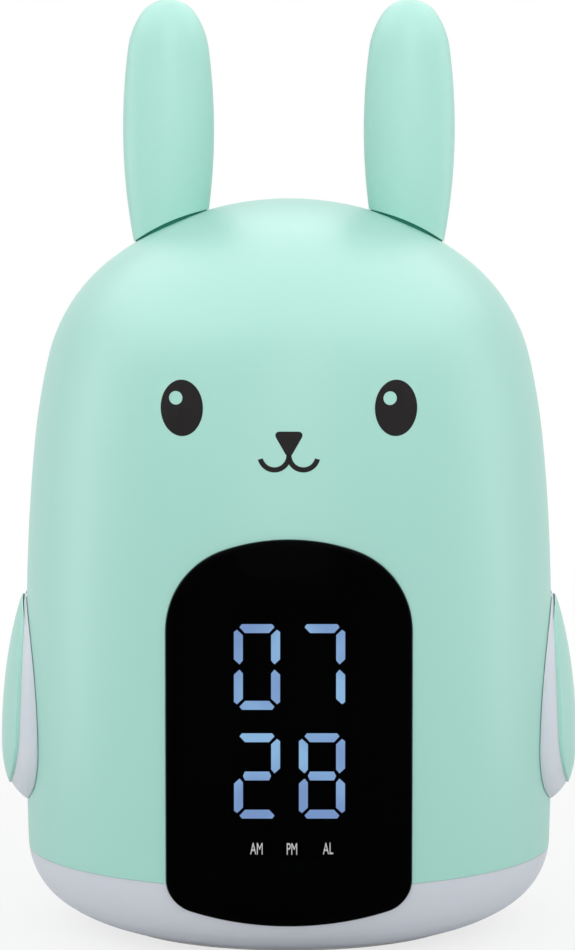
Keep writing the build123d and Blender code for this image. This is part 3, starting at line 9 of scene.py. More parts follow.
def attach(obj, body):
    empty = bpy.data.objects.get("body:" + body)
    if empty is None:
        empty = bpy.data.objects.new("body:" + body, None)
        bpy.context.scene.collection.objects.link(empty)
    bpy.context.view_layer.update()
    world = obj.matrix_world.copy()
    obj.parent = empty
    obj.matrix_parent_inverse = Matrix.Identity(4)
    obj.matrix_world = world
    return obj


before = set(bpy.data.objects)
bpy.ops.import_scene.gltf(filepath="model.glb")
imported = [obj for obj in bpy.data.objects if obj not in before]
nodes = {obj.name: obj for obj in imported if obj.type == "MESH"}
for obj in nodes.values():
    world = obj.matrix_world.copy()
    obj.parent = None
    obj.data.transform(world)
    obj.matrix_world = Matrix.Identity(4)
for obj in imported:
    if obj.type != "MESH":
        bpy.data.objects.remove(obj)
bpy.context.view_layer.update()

# ---------------------------------------------------------------- studio
# A pale table top that fades out into a white surround, a long lens a little above the clock,
# and broad soft lamps: a key in front, one on each side, one on the ears, and a panel overhead
# and two side strips that only show as sheen.
FRAME_HEIGHT = 950
CAMERA_PLACE = (0.0, -0.9, 0.1806)
CAMERA_PITCH = math.radians(90 - 4.9527)
CAMERA_FOCAL = 3966.6
SENSOR = 36.0
CAMERA_SHIFT = -0.0015

camera = bpy.data.objects.new("camera", bpy.data.cameras.new("camera"))
camera.data.sensor_width = SENSOR
camera.data.lens = CAMERA_FOCAL / FRAME_HEIGHT * SENSOR
camera.data.shift_x = CAMERA_SHIFT
camera.location = CAMERA_PLACE
camera.rotation_euler = (CAMERA_PITCH, 0, 0)
bpy.context.scene.collection.objects.link(camera)
bpy.context.scene.camera = camera
bpy.context.scene.view_settings.view_transform = "Standard"


def add_lamp(name, place, target, size, power, spread=math.pi, sheen_only=False):
    """A soft box at a place, aimed at a target. A sheen-only one is just reflected."""
    lamp = bpy.data.lights.new(name, "AREA")
    lamp.shape = "RECTANGLE"
    lamp.size, lamp.size_y = size
    lamp.energy = power
    lamp.spread = spread
    holder = bpy.data.objects.new(name, lamp)
    holder.location = place
    aim = Vector(target) - Vector(place)
    holder.rotation_euler = aim.to_track_quat("-Z", "Y").to_euler()
    holder.visible_diffuse = not sheen_only
    bpy.context.scene.collection.objects.link(holder)


BODY_MIDDLE = (0, 0, 0.1)
ABOVE_EARS = (0, 0, 0.3)
LOW_ON_BODY = (0, 0, 0.08)
EAR_BOX_SPREAD = math.radians(22)
SIDE_BOX = (0.35, 1.0)
STRIP = (0.25, 0.8)
add_lamp("key_box", place=(-0.04, -1.3, 0.38), target=BODY_MIDDLE, size=(0.9, 0.7), power=2.5)
add_lamp("left_box", place=(-1.0, 0.1, 0.35), target=BODY_MIDDLE, size=SIDE_BOX, power=1.0)
add_lamp("right_box", place=(1.0, 0.1, 0.35), target=BODY_MIDDLE, size=SIDE_BOX, power=1.0)
add_lamp("ear_box", place=(0.1, -0.8, 0.65), target=ABOVE_EARS, size=(0.3, 0.3), power=0.085,
         spread=EAR_BOX_SPREAD)
add_lamp("sheen_panel", place=(0.0, 0.1, 1.1), target=(0, 0.1, 0.1), size=(3.2, 2.2), power=60.0,
         sheen_only=True)
add_lamp("left_strip", place=(-1.0, 0.18, 0.15), target=LOW_ON_BODY, size=STRIP, power=1.6,
         sheen_only=True)
add_lamp("right_strip", place=(1.0, 0.18, 0.15), target=LOW_ON_BODY, size=STRIP, power=1.2,
         sheen_only=True)


def node_of(tree, kind, **settings):
    """A new shader node with its settings."""
    made = tree.nodes.new(kind)
    for name, value in settings.items():
        setattr(made, name, value)
    return made


def empty_material(name):
    """A node material with nothing but its output; gives the material, its tree and output."""
    material = bpy.data.materials.new(name)
    material.use_nodes = True
    material.node_tree.nodes.clear()
    return material, material.node_tree, material.node_tree.nodes.new("ShaderNodeOutputMaterial")


SURROUND_LIGHT = 0.77
world = bpy.data.worlds.new("surround")
world.use_nodes = True
bpy.context.scene.world = world
sky = world.node_tree
sky.nodes.clear()
sky_out = sky.nodes.new("ShaderNodeOutputWorld")
seen = node_of(sky, "ShaderNodeBackground")
seen.inputs["Strength"].default_value = 1.0
lit = node_of(sky, "ShaderNodeBackground")
lit.inputs["Strength"].default_value = SURROUND_LIGHT
for background in (seen, lit):
    background.inputs["Color"].default_value = (1, 1, 1, 1)
path = node_of(sky, "ShaderNodeLightPath")
mirrored = node_of(sky, "ShaderNodeMath", operation="MAXIMUM")
looked_at = node_of(sky, "ShaderNodeMath", operation="MAXIMUM")
sky_mix = node_of(sky, "ShaderNodeMixShader")
sky.links.new(path.outputs["Is Glossy Ray"], mirrored.inputs[0])
sky.links.new(path.outputs["Is Transmission Ray"], mirrored.inputs[1])
sky.links.new(path.outputs["Is Camera Ray"], looked_at.inputs[0])
sky.links.new(mirrored.outputs[0], looked_at.inputs[1])
sky.links.new(looked_at.outputs[0], sky_mix.inputs[0])
sky.links.new(lit.outputs[0], sky_mix.inputs[1])
sky.links.new(seen.outputs[0], sky_mix.inputs[2])
sky.links.new(sky_mix.outputs[0], sky_out.inputs[0])

TABLE_REACH = 3.0
TABLE_CLEAR = 0.00003
TABLE_SOLID = 0.16
TABLE_GONE = 0.45
TABLE_WHITE = 0.93
TABLE_LIFT = 0.75
table_mesh = bpy.data.meshes.new("table_top")
shape = bmesh.new()
bmesh.ops.create_grid(shape, x_segments=1, y_segments=1, size=TABLE_REACH,
                      matrix=Matrix.Translation((0, 0, -TABLE_CLEAR)))
shape.to_mesh(table_mesh)
shape.free()
table_top = bpy.data.objects.new("table_top", table_mesh)
bpy.context.scene.collection.objects.link(table_top)
table_paint, tree, out = empty_material("table_paint")
place = node_of(tree, "ShaderNodeTexCoord")
length = node_of(tree, "ShaderNodeVectorMath", operation="LENGTH")
fade = node_of(tree, "ShaderNodeMapRange", interpolation_type="SMOOTHSTEP")
fade.inputs["From Min"].default_value = TABLE_SOLID
fade.inputs["From Max"].default_value = TABLE_GONE
surface = node_of(tree, "ShaderNodeBsdfDiffuse")
surface.inputs["Color"].default_value = (TABLE_WHITE, TABLE_WHITE, TABLE_WHITE, 1)
white = node_of(tree, "ShaderNodeEmission")
watched = node_of(tree, "ShaderNodeLightPath")
lift = node_of(tree, "ShaderNodeMath", operation="MULTIPLY")
lift.inputs[1].default_value = TABLE_LIFT
lifted = node_of(tree, "ShaderNodeMixShader")
through = node_of(tree, "ShaderNodeBsdfTransparent")
blend = node_of(tree, "ShaderNodeMixShader")
tree.links.new(watched.outputs["Is Camera Ray"], lift.inputs[0])
tree.links.new(lift.outputs[0], lifted.inputs[0])
tree.links.new(surface.outputs[0], lifted.inputs[1])
tree.links.new(white.outputs[0], lifted.inputs[2])
tree.links.new(place.outputs["Object"], length.inputs[0])
tree.links.new(length.outputs["Value"], fade.inputs["Value"])
tree.links.new(fade.outputs[0], blend.inputs[0])
tree.links.new(lifted.outputs[0], blend.inputs[1])
tree.links.new(through.outputs[0], blend.inputs[2])
tree.links.new(blend.outputs[0], out.inputs[0])
table_mesh.materials.append(table_paint)

# ---------------------------------------------------------------- frosted bowl and flank pads
# The bowl under the dome and the teardrop body on each flank are injection-moulded in a
# milky plastic that spreads the light of the diodes behind it. The mould face is finely
# blasted, so the surface is matt and a little of the light travels inside the wall.
FROST = (0.66, 0.685, 0.74)
FROST_DEEP = (0.62, 0.65, 0.715)
FROST_GLOW = (0.004, 0.003, 0.0025)
FROST_SHARE = 0.25


def blend_of(tree, factor, first, second):
    """A colour between two, by a factor from another node; gives the colour output."""
    mix = node_of(tree, "ShaderNodeMix", data_type="RGBA")
    tree.links.new(factor, mix.inputs["Factor"])
    mix.inputs["A"].default_value = (*first, 1)
    mix.inputs["B"].default_value = (*second, 1)
    return mix.outputs["Result"]


def noise_of(tree, place, scale, detail=2.0, rough=0.5):
    """A noise over the object's own coordinates, scale in waves per metre."""
    noise = node_of(tree, "ShaderNodeTexNoise")
    noise.inputs["Scale"].default_value = scale
    noise.inputs["Detail"].default_value = detail
    noise.inputs["Roughness"].default_value = rough
    tree.links.new(place, noise.inputs["Vector"])
    return noise.outputs["Fac"]


def range_of(tree, value, low, high, start=0.0, end=1.0):
    """A value mapped from start..end to low..high."""
    mapped = node_of(tree, "ShaderNodeMapRange")
    mapped.inputs["From Min"].default_value = start
    mapped.inputs["From Max"].default_value = end
    mapped.inputs["To Min"].default_value = low
    mapped.inputs["To Max"].default_value = high
    tree.links.new(value, mapped.inputs["Value"])
    return mapped.outputs[0]


def relief_of(tree, height, depth):
    """A bump of a depth in metres; gives the normal output."""
    bump = node_of(tree, "ShaderNodeBump")
    bump.inputs["Distance"].default_value = depth
    tree.links.new(height, bump.inputs["Height"])
    return bump.outputs["Normal"]


NOISE_SPAN = (0.3, 0.7)
SLOW_DRIFT = 22.0
GRAIN_DETAIL = 3.0
GRAIN_ROUGH = 0.6
USUAL_SPECULAR = 0.5


def moulded(name, tone, shade, rough, grain, depth, drift=SLOW_DRIFT, specular=USUAL_SPECULAR):
    """A moulded plastic: a slow drift between two tones, and a grain in roughness and relief."""
    material, tree, out = empty_material(name)
    place = node_of(tree, "ShaderNodeTexCoord").outputs["Object"]
    skin = node_of(tree, "ShaderNodeBsdfPrincipled")
    tones = blend_of(tree, noise_of(tree, place, drift), tone, shade)
    tree.links.new(tones, skin.inputs["Base Color"])
    skin.inputs["Specular IOR Level"].default_value = specular
    blast = noise_of(tree, place, grain, GRAIN_DETAIL, GRAIN_ROUGH)
    tree.links.new(range_of(tree, blast, *rough, *NOISE_SPAN), skin.inputs["Roughness"])
    tree.links.new(relief_of(tree, blast, depth), skin.inputs["Normal"])
    tree.links.new(skin.outputs[0], out.inputs[0])
    return material


def dress(material, *names):
    """Gives CAD pieces their finish."""
    for name in names:
        for slot in nodes[name].material_slots:
            slot.material = material


frosted = moulded("frosted_plastic", FROST, FROST_DEEP,
                  rough=(0.42, 0.52), grain=2600, depth=0.00002)
skin = frosted.node_tree.nodes["Principled BSDF"]
skin.inputs["Subsurface Weight"].default_value = FROST_SHARE
skin.inputs["Subsurface Radius"].default_value = FROST_GLOW
skin.inputs["Subsurface Scale"].default_value = 1.0
dress(frosted, "base_diffuser", "right_arm_diffuser", "left_arm_diffuser")

# ---------------------------------------------------------------- base plate, door and feet
# A white moulded plate screwed under the bowl, with a battery door that swings down on two
# hooks, and four grey rubber pads pressed into rings on the plate.
WHITE = (0.78, 0.78, 0.76)
WHITE_SHADE = (0.74, 0.745, 0.73)
white_abs = moulded("white_abs", WHITE, WHITE_SHADE, rough=(0.38, 0.5), grain=1800, depth=0.00002)
dress(white_abs, "bottom_plate", "battery_door")

RUBBER = (0.34, 0.35, 0.36)
RUBBER_WORN = (0.42, 0.43, 0.44)
rubber = moulded("foot_rubber", RUBBER, RUBBER_WORN,
                 rough=(0.75, 0.95), grain=1400, depth=0.00005, drift=160, specular=0.3)
dress(rubber, "foot_pads")

# ---------------------------------------------------------------- screws
# Zinc-plated steel screws: cold-formed heads turned on a lathe, with a faint blue-grey
# plating that is uneven from one patch to the next and scuffed by the driver.
ZINC = (0.58, 0.59, 0.61)
ZINC_DULL = (0.44, 0.45, 0.47)
SCUFFS_ACROSS_PATCH = 5
PATCH_SPAN = (0.35, 0.65)
SCUFF_DETAIL = 6.0
SCUFF_ROUGH = 0.7


def plated(name, bright, dull, rough, scuff, depth):
    """A plated metal: patches of bright and dull plating, with fine scuffs in the gloss."""
    material, tree, out = empty_material(name)
    place = node_of(tree, "ShaderNodeTexCoord").outputs["Object"]
    metal = node_of(tree, "ShaderNodeBsdfPrincipled")
    metal.inputs["Metallic"].default_value = 1.0
    plating = noise_of(tree, place, scuff / SCUFFS_ACROSS_PATCH, GRAIN_DETAIL)
    patches = range_of(tree, plating, 0.0, 1.0, *PATCH_SPAN)
    tree.links.new(blend_of(tree, patches, bright, dull), metal.inputs["Base Color"])
    scuffs = noise_of(tree, place, scuff, SCUFF_DETAIL, SCUFF_ROUGH)
    tree.links.new(range_of(tree, scuffs, *rough, *NOISE_SPAN), metal.inputs["Roughness"])
    tree.links.new(relief_of(tree, scuffs, depth), metal.inputs["Normal"])
    tree.links.new(metal.outputs[0], out.inputs[0])
    return material


zinc = plated("zinc_plating", ZINC, ZINC_DULL, rough=(0.22, 0.42), scuff=2500, depth=0.00001)
dress(zinc, "display_screws", "ear_washers", "ear_screws", "arm_screws", "base_screws",
      "chassis_screws", "light_ring_screws", "main_board_screws", "rear_board_screws",
      "speaker_screws")

# ---------------------------------------------------------------- cells and contacts
# Three dry cells in a printed jacket with a bare rim, between sprung leaves of nickel-plated
# steel at one end and flat ones at the other.
NICKEL = (0.66, 0.64, 0.6)
NICKEL_DULL = (0.5, 0.48, 0.44)
nickel = plated("nickel_plating", NICKEL, NICKEL_DULL,
                rough=(0.16, 0.36), scuff=1800, depth=0.00001)
dress(nickel, "plus_contacts", "minus_contacts")

JACKET = (0.045, 0.05, 0.056)
JACKET_BAND = (0.32, 0.34, 0.36)
CELL_PITCH = 0.0109
BAND_START = 0.0115
BAND_EDGE = 0.0001
JACKET_GRAIN = 700
JACKET_ROUGH = (0.2, 0.34)
JACKET_RELIEF = 0.00001
JACKET_COAT = 0.3
jacket, tree, out = empty_material("cell_jacket")
place = node_of(tree, "ShaderNodeTexCoord").outputs["Object"]
skin = node_of(tree, "ShaderNodeBsdfPrincipled")
along = node_of(tree, "ShaderNodeSeparateXYZ")
tree.links.new(place, along.inputs[0])
# The middle cell lies the other way round, so its band is at the other end.
spread = node_of(tree, "ShaderNodeMath", operation="ABSOLUTE")
outer = node_of(tree, "ShaderNodeMath", operation="GREATER_THAN")
outer.inputs[1].default_value = CELL_PITCH / 2
way = node_of(tree, "ShaderNodeMath", operation="MULTIPLY_ADD")
way.inputs[1].default_value = 2.0
way.inputs[2].default_value = -1.0
towards_plus = node_of(tree, "ShaderNodeMath", operation="MULTIPLY")
tree.links.new(along.outputs["X"], spread.inputs[0])
tree.links.new(spread.outputs[0], outer.inputs[0])
tree.links.new(outer.outputs[0], way.inputs[0])
tree.links.new(along.outputs["Y"], towards_plus.inputs[0])
tree.links.new(way.outputs[0], towards_plus.inputs[1])
band = range_of(tree, towards_plus.outputs[0], 0.0, 1.0, BAND_START, BAND_START + BAND_EDGE)
tree.links.new(blend_of(tree, band, JACKET, JACKET_BAND), skin.inputs["Base Color"])
film = noise_of(tree, place, JACKET_GRAIN, GRAIN_DETAIL)
tree.links.new(range_of(tree, film, *JACKET_ROUGH, *NOISE_SPAN), skin.inputs["Roughness"])
tree.links.new(relief_of(tree, film, JACKET_RELIEF), skin.inputs["Normal"])
skin.inputs["Coat Weight"].default_value = JACKET_COAT
tree.links.new(skin.outputs[0], out.inputs[0])
dress(jacket, "battery_cells")

# ---------------------------------------------------------------- chassis
# A white moulded tray of the same plastic as the base plate, screwed up into the dome's
# bosses. The main board stands on it and the light ring board hangs under it.
dress(white_abs, "inner_chassis")

# ---------------------------------------------------------------- circuit boards
# Glass-fibre boards under solder mask: green for the main and rear boards, white for the
# ones that light the plastic, black behind the display. Traces show as raised lines.
MASKS = {
    "green_mask": ((0.012, 0.105, 0.04), (0.03, 0.2, 0.075), ("main_board", "rear_board")),
    "white_mask": ((0.76, 0.77, 0.75), (0.68, 0.69, 0.67),
                   ("light_ring_board", "right_arm_board", "left_arm_board")),
    "black_mask": ((0.008, 0.008, 0.009), (0.02, 0.02, 0.022), ("display_board",)),
}
TRACES_PER_METRE = 520.0
TRACES_ACROSS_CELL = 6
TRACE_STEPS = 40.0
TRACE_SHARE = 0.62
TRACE_EDGE = 0.08
TRACE_HEIGHT = 0.00003
MASK_GRAIN = 900
MASK_ROUGH = (0.3, 0.42)
MASK_COAT = 0.4


def solder_mask(name, mask, trace):
    """Solder mask over copper traces: stepped bands that change direction from cell to cell."""
    material, tree, out = empty_material(name)
    place = node_of(tree, "ShaderNodeTexCoord").outputs["Object"]
    skin = node_of(tree, "ShaderNodeBsdfPrincipled")
    turns = node_of(tree, "ShaderNodeTexVoronoi", distance="CHEBYCHEV")
    turns.inputs["Scale"].default_value = TRACES_PER_METRE / TRACES_ACROSS_CELL
    tree.links.new(place, turns.inputs["Vector"])
    waves = node_of(tree, "ShaderNodeMath", operation="SINE")
    steps = node_of(tree, "ShaderNodeMath", operation="MULTIPLY")
    steps.inputs[1].default_value = TRACE_STEPS
    tree.links.new(turns.outputs["Distance"], steps.inputs[0])
    tree.links.new(steps.outputs[0], waves.inputs[0])
    lines = range_of(tree, waves.outputs[0], 0.0, 1.0, TRACE_SHARE, TRACE_SHARE + TRACE_EDGE)
    tree.links.new(blend_of(tree, lines, mask, trace), skin.inputs["Base Color"])
    skin.inputs["Coat Weight"].default_value = MASK_COAT
    film = noise_of(tree, place, MASK_GRAIN)
    tree.links.new(range_of(tree, film, *MASK_ROUGH, *NOISE_SPAN), skin.inputs["Roughness"])
    tree.links.new(relief_of(tree, lines, TRACE_HEIGHT), skin.inputs["Normal"])
    tree.links.new(skin.outputs[0], out.inputs[0])
    return material


for mask_name, (mask, trace, boards) in MASKS.items():
    dress(solder_mask(mask_name, mask, trace), *boards)

# ---------------------------------------------------------------- parts on the boards
# Moulded chips, capacitors, the socket's tongue and the tactile switches are dull black
# filled plastic. The diodes are small cream bodies with a yellow phosphor window.
CHIP = (0.02, 0.02, 0.022)
CHIP_PALE = (0.035, 0.035, 0.037)
chip_black = moulded("filled_black", CHIP, CHIP_PALE,
                     rough=(0.5, 0.7), grain=3500, depth=0.00003, drift=300)
dress(chip_black, "main_board_parts", "inlet_tongue", "arm_switches", "key_switches")

DIODE_BODY = (0.8, 0.79, 0.72)
DIODE_PHOSPHOR = (0.78, 0.6, 0.14)
phosphor = moulded("diode", DIODE_BODY, DIODE_PHOSPHOR,
                   rough=(0.25, 0.4), grain=2500, depth=0.00001, drift=500)
dress(phosphor, "light_ring_leds", "arm_leds", "display_leds")

# ---------------------------------------------------------------- power inlet
# A drawn steel shell, tin-plated, soldered to the rear edge of the main board. Its mouth
# stands in a recess of the dome, where the plug goes in.
TIN = (0.7, 0.7, 0.69)
TIN_DULL = (0.56, 0.56, 0.55)
tin = plated("tin_plating", TIN, TIN_DULL, rough=(0.2, 0.38), scuff=1500, depth=0.00001)
dress(tin, "inlet_shell")

# ---------------------------------------------------------------- speaker
# A pressed steel basket in black enamel, a coated paper cone and a sintered ferrite ring,
# held by three screws behind the slots at the rear.
ENAMEL = (0.02, 0.02, 0.022)
ENAMEL_WORN = (0.035, 0.035, 0.038)
enamel = moulded("black_enamel", ENAMEL, ENAMEL_WORN,
                 rough=(0.25, 0.4), grain=1200, depth=0.00002, drift=120)
dress(enamel, "speaker_basket")
PAPER = (0.03, 0.03, 0.032)
PAPER_FIBRE = (0.06, 0.058, 0.055)
paper = moulded("coated_paper", PAPER, PAPER_FIBRE,
                rough=(0.6, 0.85), grain=900, depth=0.00008, drift=700)
dress(paper, "speaker_cone")
FERRITE = (0.035, 0.035, 0.037)
FERRITE_PALE = (0.07, 0.07, 0.072)
ferrite = moulded("sintered_ferrite", FERRITE, FERRITE_PALE,
                  rough=(0.45, 0.75), grain=1600, depth=0.00004, drift=260)
dress(ferrite, "speaker_magnet")

# ---------------------------------------------------------------- display
# Behind the window stand a dark moulded reflector, translucent segments in its slots and a
# board of diodes. The glow of the lit segments drifts between two blues, as it does in a
# plastic that spreads it unevenly; the unlit ones are near black behind the window.
REFLECTOR = (0.0006, 0.0006, 0.0007)
REFLECTOR_PALE = (0.0012, 0.0012, 0.0014)
reflector_black = moulded("reflector_black", REFLECTOR, REFLECTOR_PALE,
                          rough=(0.6, 0.8), grain=1800, depth=0.00002, specular=0.0)
dress(reflector_black, "digit_reflector")

UNLIT = (0.0015, 0.0015, 0.0018)
UNLIT_PALE = (0.0025, 0.0025, 0.003)
unlit = moulded("unlit_diffuser", UNLIT, UNLIT_PALE,
                rough=(0.5, 0.7), grain=1800, depth=0.00002, specular=0.0)
dress(unlit, "unlit_segments")

GLOW_BLUE = (0.215, 0.345, 0.64)
GLOW_SKY = (0.295, 0.53, 0.82)
GLOW_STRENGTH = 87.0
GLOW_DRIFT = 75.0
GLOW_SPAN = (0.38, 0.62)
GLOW_GRAIN = 1800
GLOW_ROUGH = (0.4, 0.6)
glowing, tree, out = empty_material("lit_diffuser")
place = node_of(tree, "ShaderNodeTexCoord").outputs["Object"]
skin = node_of(tree, "ShaderNodeBsdfPrincipled")
uneven = range_of(tree, noise_of(tree, place, GLOW_DRIFT, detail=1.0), 0.0, 1.0, *GLOW_SPAN)
glow = blend_of(tree, uneven, GLOW_BLUE, GLOW_SKY)
tree.links.new(glow, skin.inputs["Emission Color"])
tree.links.new(glow, skin.inputs["Base Color"])
skin.inputs["Emission Strength"].default_value = GLOW_STRENGTH
gloss = range_of(tree, noise_of(tree, place, GLOW_GRAIN), *GLOW_ROUGH)
tree.links.new(gloss, skin.inputs["Roughness"])
tree.links.new(skin.outputs[0], out.inputs[0])
dress(glowing, "lit_segments")

TAPE = (0.0006, 0.0006, 0.0006)
TAPE_PALE = (0.0012, 0.0012, 0.0012)
tape = moulded("foam_tape", TAPE, TAPE_PALE,
               rough=(0.8, 0.95), grain=2200, depth=0.00006, drift=600, specular=0.0)
dress(tape, "lens_tape")

# ---------------------------------------------------------------- smoked window
# A moulded acrylic window, dyed so dark that it hides what isn't lit. It is polished, with
# the very faint flow marks that a mould leaves.
SMOKE = (0.0003, 0.0003, 0.0004)
SMOKE_ALPHA = 0.9
SMOKE_GLOSS = 0.01
SMOKE_ROUGH = (0.03, 0.08)
FLOW_MARKS = 60
smoked, tree, out = empty_material("smoked_acrylic")
place = node_of(tree, "ShaderNodeTexCoord").outputs["Object"]
skin = node_of(tree, "ShaderNodeBsdfPrincipled")
skin.inputs["Base Color"].default_value = (*SMOKE, 1)
skin.inputs["Alpha"].default_value = SMOKE_ALPHA
skin.inputs["Specular IOR Level"].default_value = SMOKE_GLOSS
flow = noise_of(tree, place, FLOW_MARKS)
tree.links.new(range_of(tree, flow, *SMOKE_ROUGH, *NOISE_SPAN), skin.inputs["Roughness"])
tree.links.new(skin.outputs[0], out.inputs[0])
dress(smoked, "display_lens")

# ---------------------------------------------------------------- mint casing, ears and caps
# The dome, the two ears on its crown and the cap on each flank are moulded in one mint ABS
# with a silky, lightly blasted face, so that broad lights show as soft patches.
MINT = (0.375, 0.685, 0.6)
MINT_SHADE = (0.366, 0.674, 0.59)
mint = moulded("mint_abs", MINT, MINT_SHADE,
               rough=(0.36, 0.42), grain=3000, depth=0.000012, specular=0.38)
dress(mint, "dome_shell", "right_ear", "left_ear", "right_arm_button", "left_arm_button")

# ---------------------------------------------------------------- painted shade under the ears
# A thin ring round the hollow root of each ear, between the ear and the dome. Its dark green is
# painted shade of the gap there. It follows both, and shuts light out of the hollow.
GAP_SHADE = (0.012, 0.16, 0.095)
GAP_SHADE_PALE = (0.016, 0.18, 0.11)
SHADE_RING_SPOT = 0.02665
SHADE_RING_REACH = (0.0081, 0.00585)
SHADE_RING_WIDTH = 0.0006
SHADE_RING_STEPS = 96
ABOVE = 0.3
JUST_OFF = 0.00002
DOWN = Vector((0, 0, -1))
UP = Vector((0, 0, 1))


def surface_of(piece):
    """The faces of a CAD piece, to cast rays on."""
    mesh = piece.data
    return BVHTree.FromPolygons([v.co for v in mesh.vertices], [p.vertices for p in mesh.polygons])


def finished(name, shape, body, finish):
    """Makes a piece of a bmesh, with its body, slot and finish."""
    mesh = bpy.data.meshes.new(name)
    shape.to_mesh(mesh)
    shape.free()
    mesh.materials.append(finish)
    piece = bpy.data.objects.new(name, mesh)
    bpy.context.scene.collection.objects.link(piece)
    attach(piece, body)


# Painted shade: a matt dark green standing in for the shaded gap under each ear.
painted_gap_shade = moulded("painted_gap_shade", GAP_SHADE, GAP_SHADE_PALE,
                      rough=(0.7, 0.85), grain=2600, depth=0.00001, drift=300, specular=0.2)
crown = surface_of(nodes["dome_shell"])
for side, ear in ((1, "right_ear"), (-1, "left_ear")):
    root = surface_of(nodes[ear])
    shade_ring = bmesh.new()
    for inset in (0, SHADE_RING_WIDTH):
        rim = bmesh.ops.create_circle(shade_ring, segments=SHADE_RING_STEPS, radius=1.0)["verts"]
        bmesh.ops.scale(shade_ring, verts=rim, vec=(SHADE_RING_REACH[0] - inset, SHADE_RING_REACH[1] - inset, 1))
    bmesh.ops.bridge_loops(shade_ring, edges=shade_ring.edges[:])
    bmesh.ops.translate(shade_ring, verts=shade_ring.verts[:], vec=(side * SHADE_RING_SPOT, 0, 0))
    lower = shade_ring.verts[:]
    raised = bmesh.ops.extrude_face_region(shade_ring, geom=shade_ring.faces[:])["geom"]
    for vertex in lower:
        vertex.co.z = crown.ray_cast(Vector((vertex.co.x, vertex.co.y, ABOVE)), DOWN)[0].z
    for vertex in [part for part in raised if isinstance(part, bmesh.types.BMVert)]:
        foot = crown.ray_cast(Vector((vertex.co.x, vertex.co.y, ABOVE)), DOWN)[0]
        vertex.co.z = root.ray_cast(foot + JUST_OFF * UP, UP)[0].z
    bmesh.ops.recalc_face_normals(shade_ring, faces=shade_ring.faces)
    finished(ear + "_seal", shade_ring, "clock_body", painted_gap_shade)

# ---------------------------------------------------------------- rear keys
# Five round keys moulded in the same mint, each sliding in its collar against a switch.
# Fingers have polished them more than the casing round them.
KEY_MINT = (0.35, 0.65, 0.57)
KEY_MINT_SHADE = (0.34, 0.635, 0.555)
key_mint = moulded("mint_key", KEY_MINT, KEY_MINT_SHADE,
                   rough=(0.28, 0.38), grain=3000, depth=0.00001)
dress(key_mint, "time_key", "alarm_key", "light_key", "down_key", "up_key")

# ---------------------------------------------------------------- printed face
# A plain face pad-printed on the dome in black ink: two oval eyes with a round glint left
# bare, a small blunt nose and a mouth of two arcs. The ink is a few hundredths of a
# millimetre thick and follows the dome.
INK = (0.012, 0.0105, 0.0105)
INK_PALE = (0.017, 0.0155, 0.0155)
INK_PROUD = 0.00004
INK_SUNK = 0.00004
PRINT_GRID = 0.001
EYE_SPACING = 0.046
EYE_HEIGHT = 0.1215
EYE = (0.0046, 0.0060)
GLINT = 0.00145
GLINT_PLACE = (-0.0013, 0.0021)
NOSE_HEIGHT = 0.1148
NOSE_REACH = 0.00405
NOSE_ROUND = 0.0016
NOSE_STEPS = 8
MOUTH_RADIUS = 0.0031
MOUTH_LINE = 0.0011
MOUTH_HEIGHT = 0.1118
MOUTH_TURN = math.radians(165)
OVAL_STEPS = 48
ARC_STEPS = 24
SAME_SPOT = 1e-7
IN_FRONT = -1.0
INWARDS = Vector((0, 1, 0))

ink = moulded("black_ink", INK, INK_PALE,
              rough=(0.42, 0.5), grain=3000, depth=0.000008, drift=200, specular=0.08)
FACING = Matrix.Rotation(math.radians(90), 3, "X")


def lay_print(name, flat, carrier, finish):
    """Cuts a flat shape in XZ on a fine grid, lays it on a CAD piece's front and thickens it."""
    surface = surface_of(carrier)
    for axis in (0, 2):
        low = min(v.co[axis] for v in flat.verts)
        high = max(v.co[axis] for v in flat.verts)
        normal = Vector((axis == 0, 0, axis == 2))
        for step in range(1, math.ceil((high - low) / PRINT_GRID)):
            cut = normal * (low + step * PRINT_GRID)
            geometry = flat.verts[:] + flat.edges[:] + flat.faces[:]
            bmesh.ops.bisect_plane(flat, geom=geometry, dist=SAME_SPOT,
                                   plane_co=cut, plane_no=normal)
    bmesh.ops.recalc_face_normals(flat, faces=flat.faces)
    if sum(face.normal.y for face in flat.faces) > 0:
        bmesh.ops.reverse_faces(flat, faces=flat.faces)
    for vertex in flat.verts:
        hit = surface.ray_cast(Vector((vertex.co.x, IN_FRONT, vertex.co.z)), INWARDS)[0]
        vertex.co.y = hit.y - INK_PROUD
    back = bmesh.ops.extrude_face_region(flat, geom=flat.faces[:])
    sunk = [part for part in back["geom"] if isinstance(part, bmesh.types.BMVert)]
    bmesh.ops.translate(flat, verts=sunk, vec=(0, INK_PROUD + INK_SUNK, 0))
    bmesh.ops.recalc_face_normals(flat, faces=flat.faces)
    finished(name, flat, "clock_body", finish)


def eye_shape(middle):
    """An upright oval round a small off-centre hole."""
    flat = bmesh.new()
    for reach, spot in ((EYE, (0, 0)), ((GLINT, GLINT), GLINT_PLACE)):
        rim = bmesh.ops.create_circle(flat, segments=OVAL_STEPS, radius=1.0)["verts"]
        bmesh.ops.scale(flat, verts=rim, vec=(*reach, 1))
        bmesh.ops.translate(flat, verts=rim, vec=(*spot, 0))
    bmesh.ops.bridge_loops(flat, edges=flat.edges[:])
    bmesh.ops.rotate(flat, verts=flat.verts[:], matrix=FACING)
    bmesh.ops.translate(flat, verts=flat.verts[:], vec=middle)
    return flat


def arc_band(flat, middle, radius, width, start, turn):
    """A flat arc of a ring, drawn in XZ."""
    ends = []
    for reach in (radius - width / 2, radius + width / 2):
        point = Vector((reach * math.cos(start), 0, reach * math.sin(start)))
        ends.append(flat.verts.new(Vector(middle) + point))
    edge = flat.edges.new(ends)
    bmesh.ops.spin(flat, geom=ends + [edge], cent=middle, axis=(0, -1, 0), angle=turn,
                   steps=ARC_STEPS)


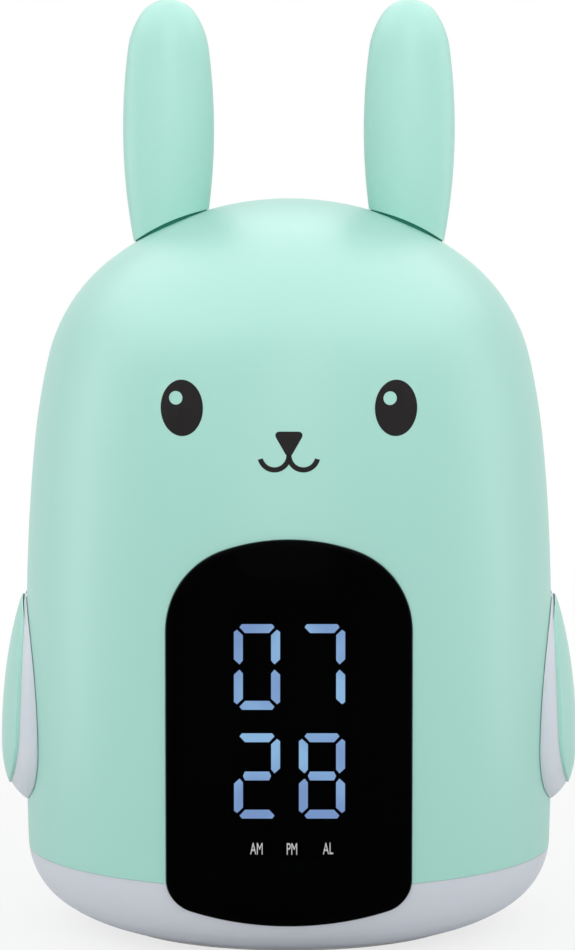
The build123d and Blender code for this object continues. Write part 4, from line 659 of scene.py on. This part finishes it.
for name, side in (("print_right_eye", -1), ("print_left_eye", 1)):
    eye = eye_shape((side * EYE_SPACING / 2, 0, EYE_HEIGHT))
    lay_print(name, eye, nodes["dome_shell"], ink)

nose = bmesh.new()
POINT_DOWN = FACING.to_4x4() @ Matrix.Rotation(math.pi, 4, "Z")
bmesh.ops.create_circle(nose, cap_ends=True, segments=3, radius=NOSE_REACH, matrix=POINT_DOWN)
bmesh.ops.bevel(nose, geom=nose.verts[:], offset=NOSE_ROUND, affect="VERTICES", segments=NOSE_STEPS,
                profile=0.5, material=-1)
bmesh.ops.translate(nose, verts=nose.verts[:], vec=(0, 0, NOSE_HEIGHT))
lay_print("print_nose", nose, nodes["dome_shell"], ink)

for name, side in (("print_mouth_right", -1), ("print_mouth_left", 1)):
    mouth = bmesh.new()
    arc_band(mouth, (side * MOUTH_RADIUS, 0, MOUTH_HEIGHT), MOUTH_RADIUS, MOUTH_LINE,
             math.pi if side > 0 else 0, MOUTH_TURN * side)
    lay_print(name, mouth, nodes["dome_shell"], ink)

# ---------------------------------------------------------------- window legends
# Three small legends screened on the window in light grey ink, under the digits: before
# noon, after noon and alarm.
LEGENDS = (("AM", -0.0069), ("PM", 0.00065), ("AL", 0.0084))
LEGEND_HEIGHT = 0.0274
LEGEND_SIZE = 0.0037
LEGEND_SQUEEZE = 0.52
LEGEND_INK = (0.55, 0.55, 0.55)
LEGEND_INK_PALE = (0.62, 0.62, 0.62)
legend_ink = moulded("grey_ink", LEGEND_INK, LEGEND_INK_PALE,
                     rough=(0.5, 0.6), grain=3000, depth=0.000005, drift=300)
for words, across in LEGENDS:
    curve = bpy.data.curves.new("legend_" + words, "FONT")
    curve.body = words
    curve.size = LEGEND_SIZE
    curve.align_x = "CENTER"
    curve.align_y = "CENTER"
    writing = bpy.data.objects.new("writing", curve)
    flat = bmesh.new()
    flat.from_mesh(bpy.data.meshes.new_from_object(writing))
    bpy.data.objects.remove(writing)
    bmesh.ops.remove_doubles(flat, verts=flat.verts[:], dist=SAME_SPOT)
    bmesh.ops.scale(flat, verts=flat.verts[:], vec=(LEGEND_SQUEEZE, 1, 1))
    bmesh.ops.rotate(flat, verts=flat.verts[:], matrix=FACING)
    bmesh.ops.translate(flat, verts=flat.verts[:], vec=(across, 0, LEGEND_HEIGHT))
    name = "legend_" + words.lower()
    lay_print(name, flat, nodes["display_lens"], legend_ink)
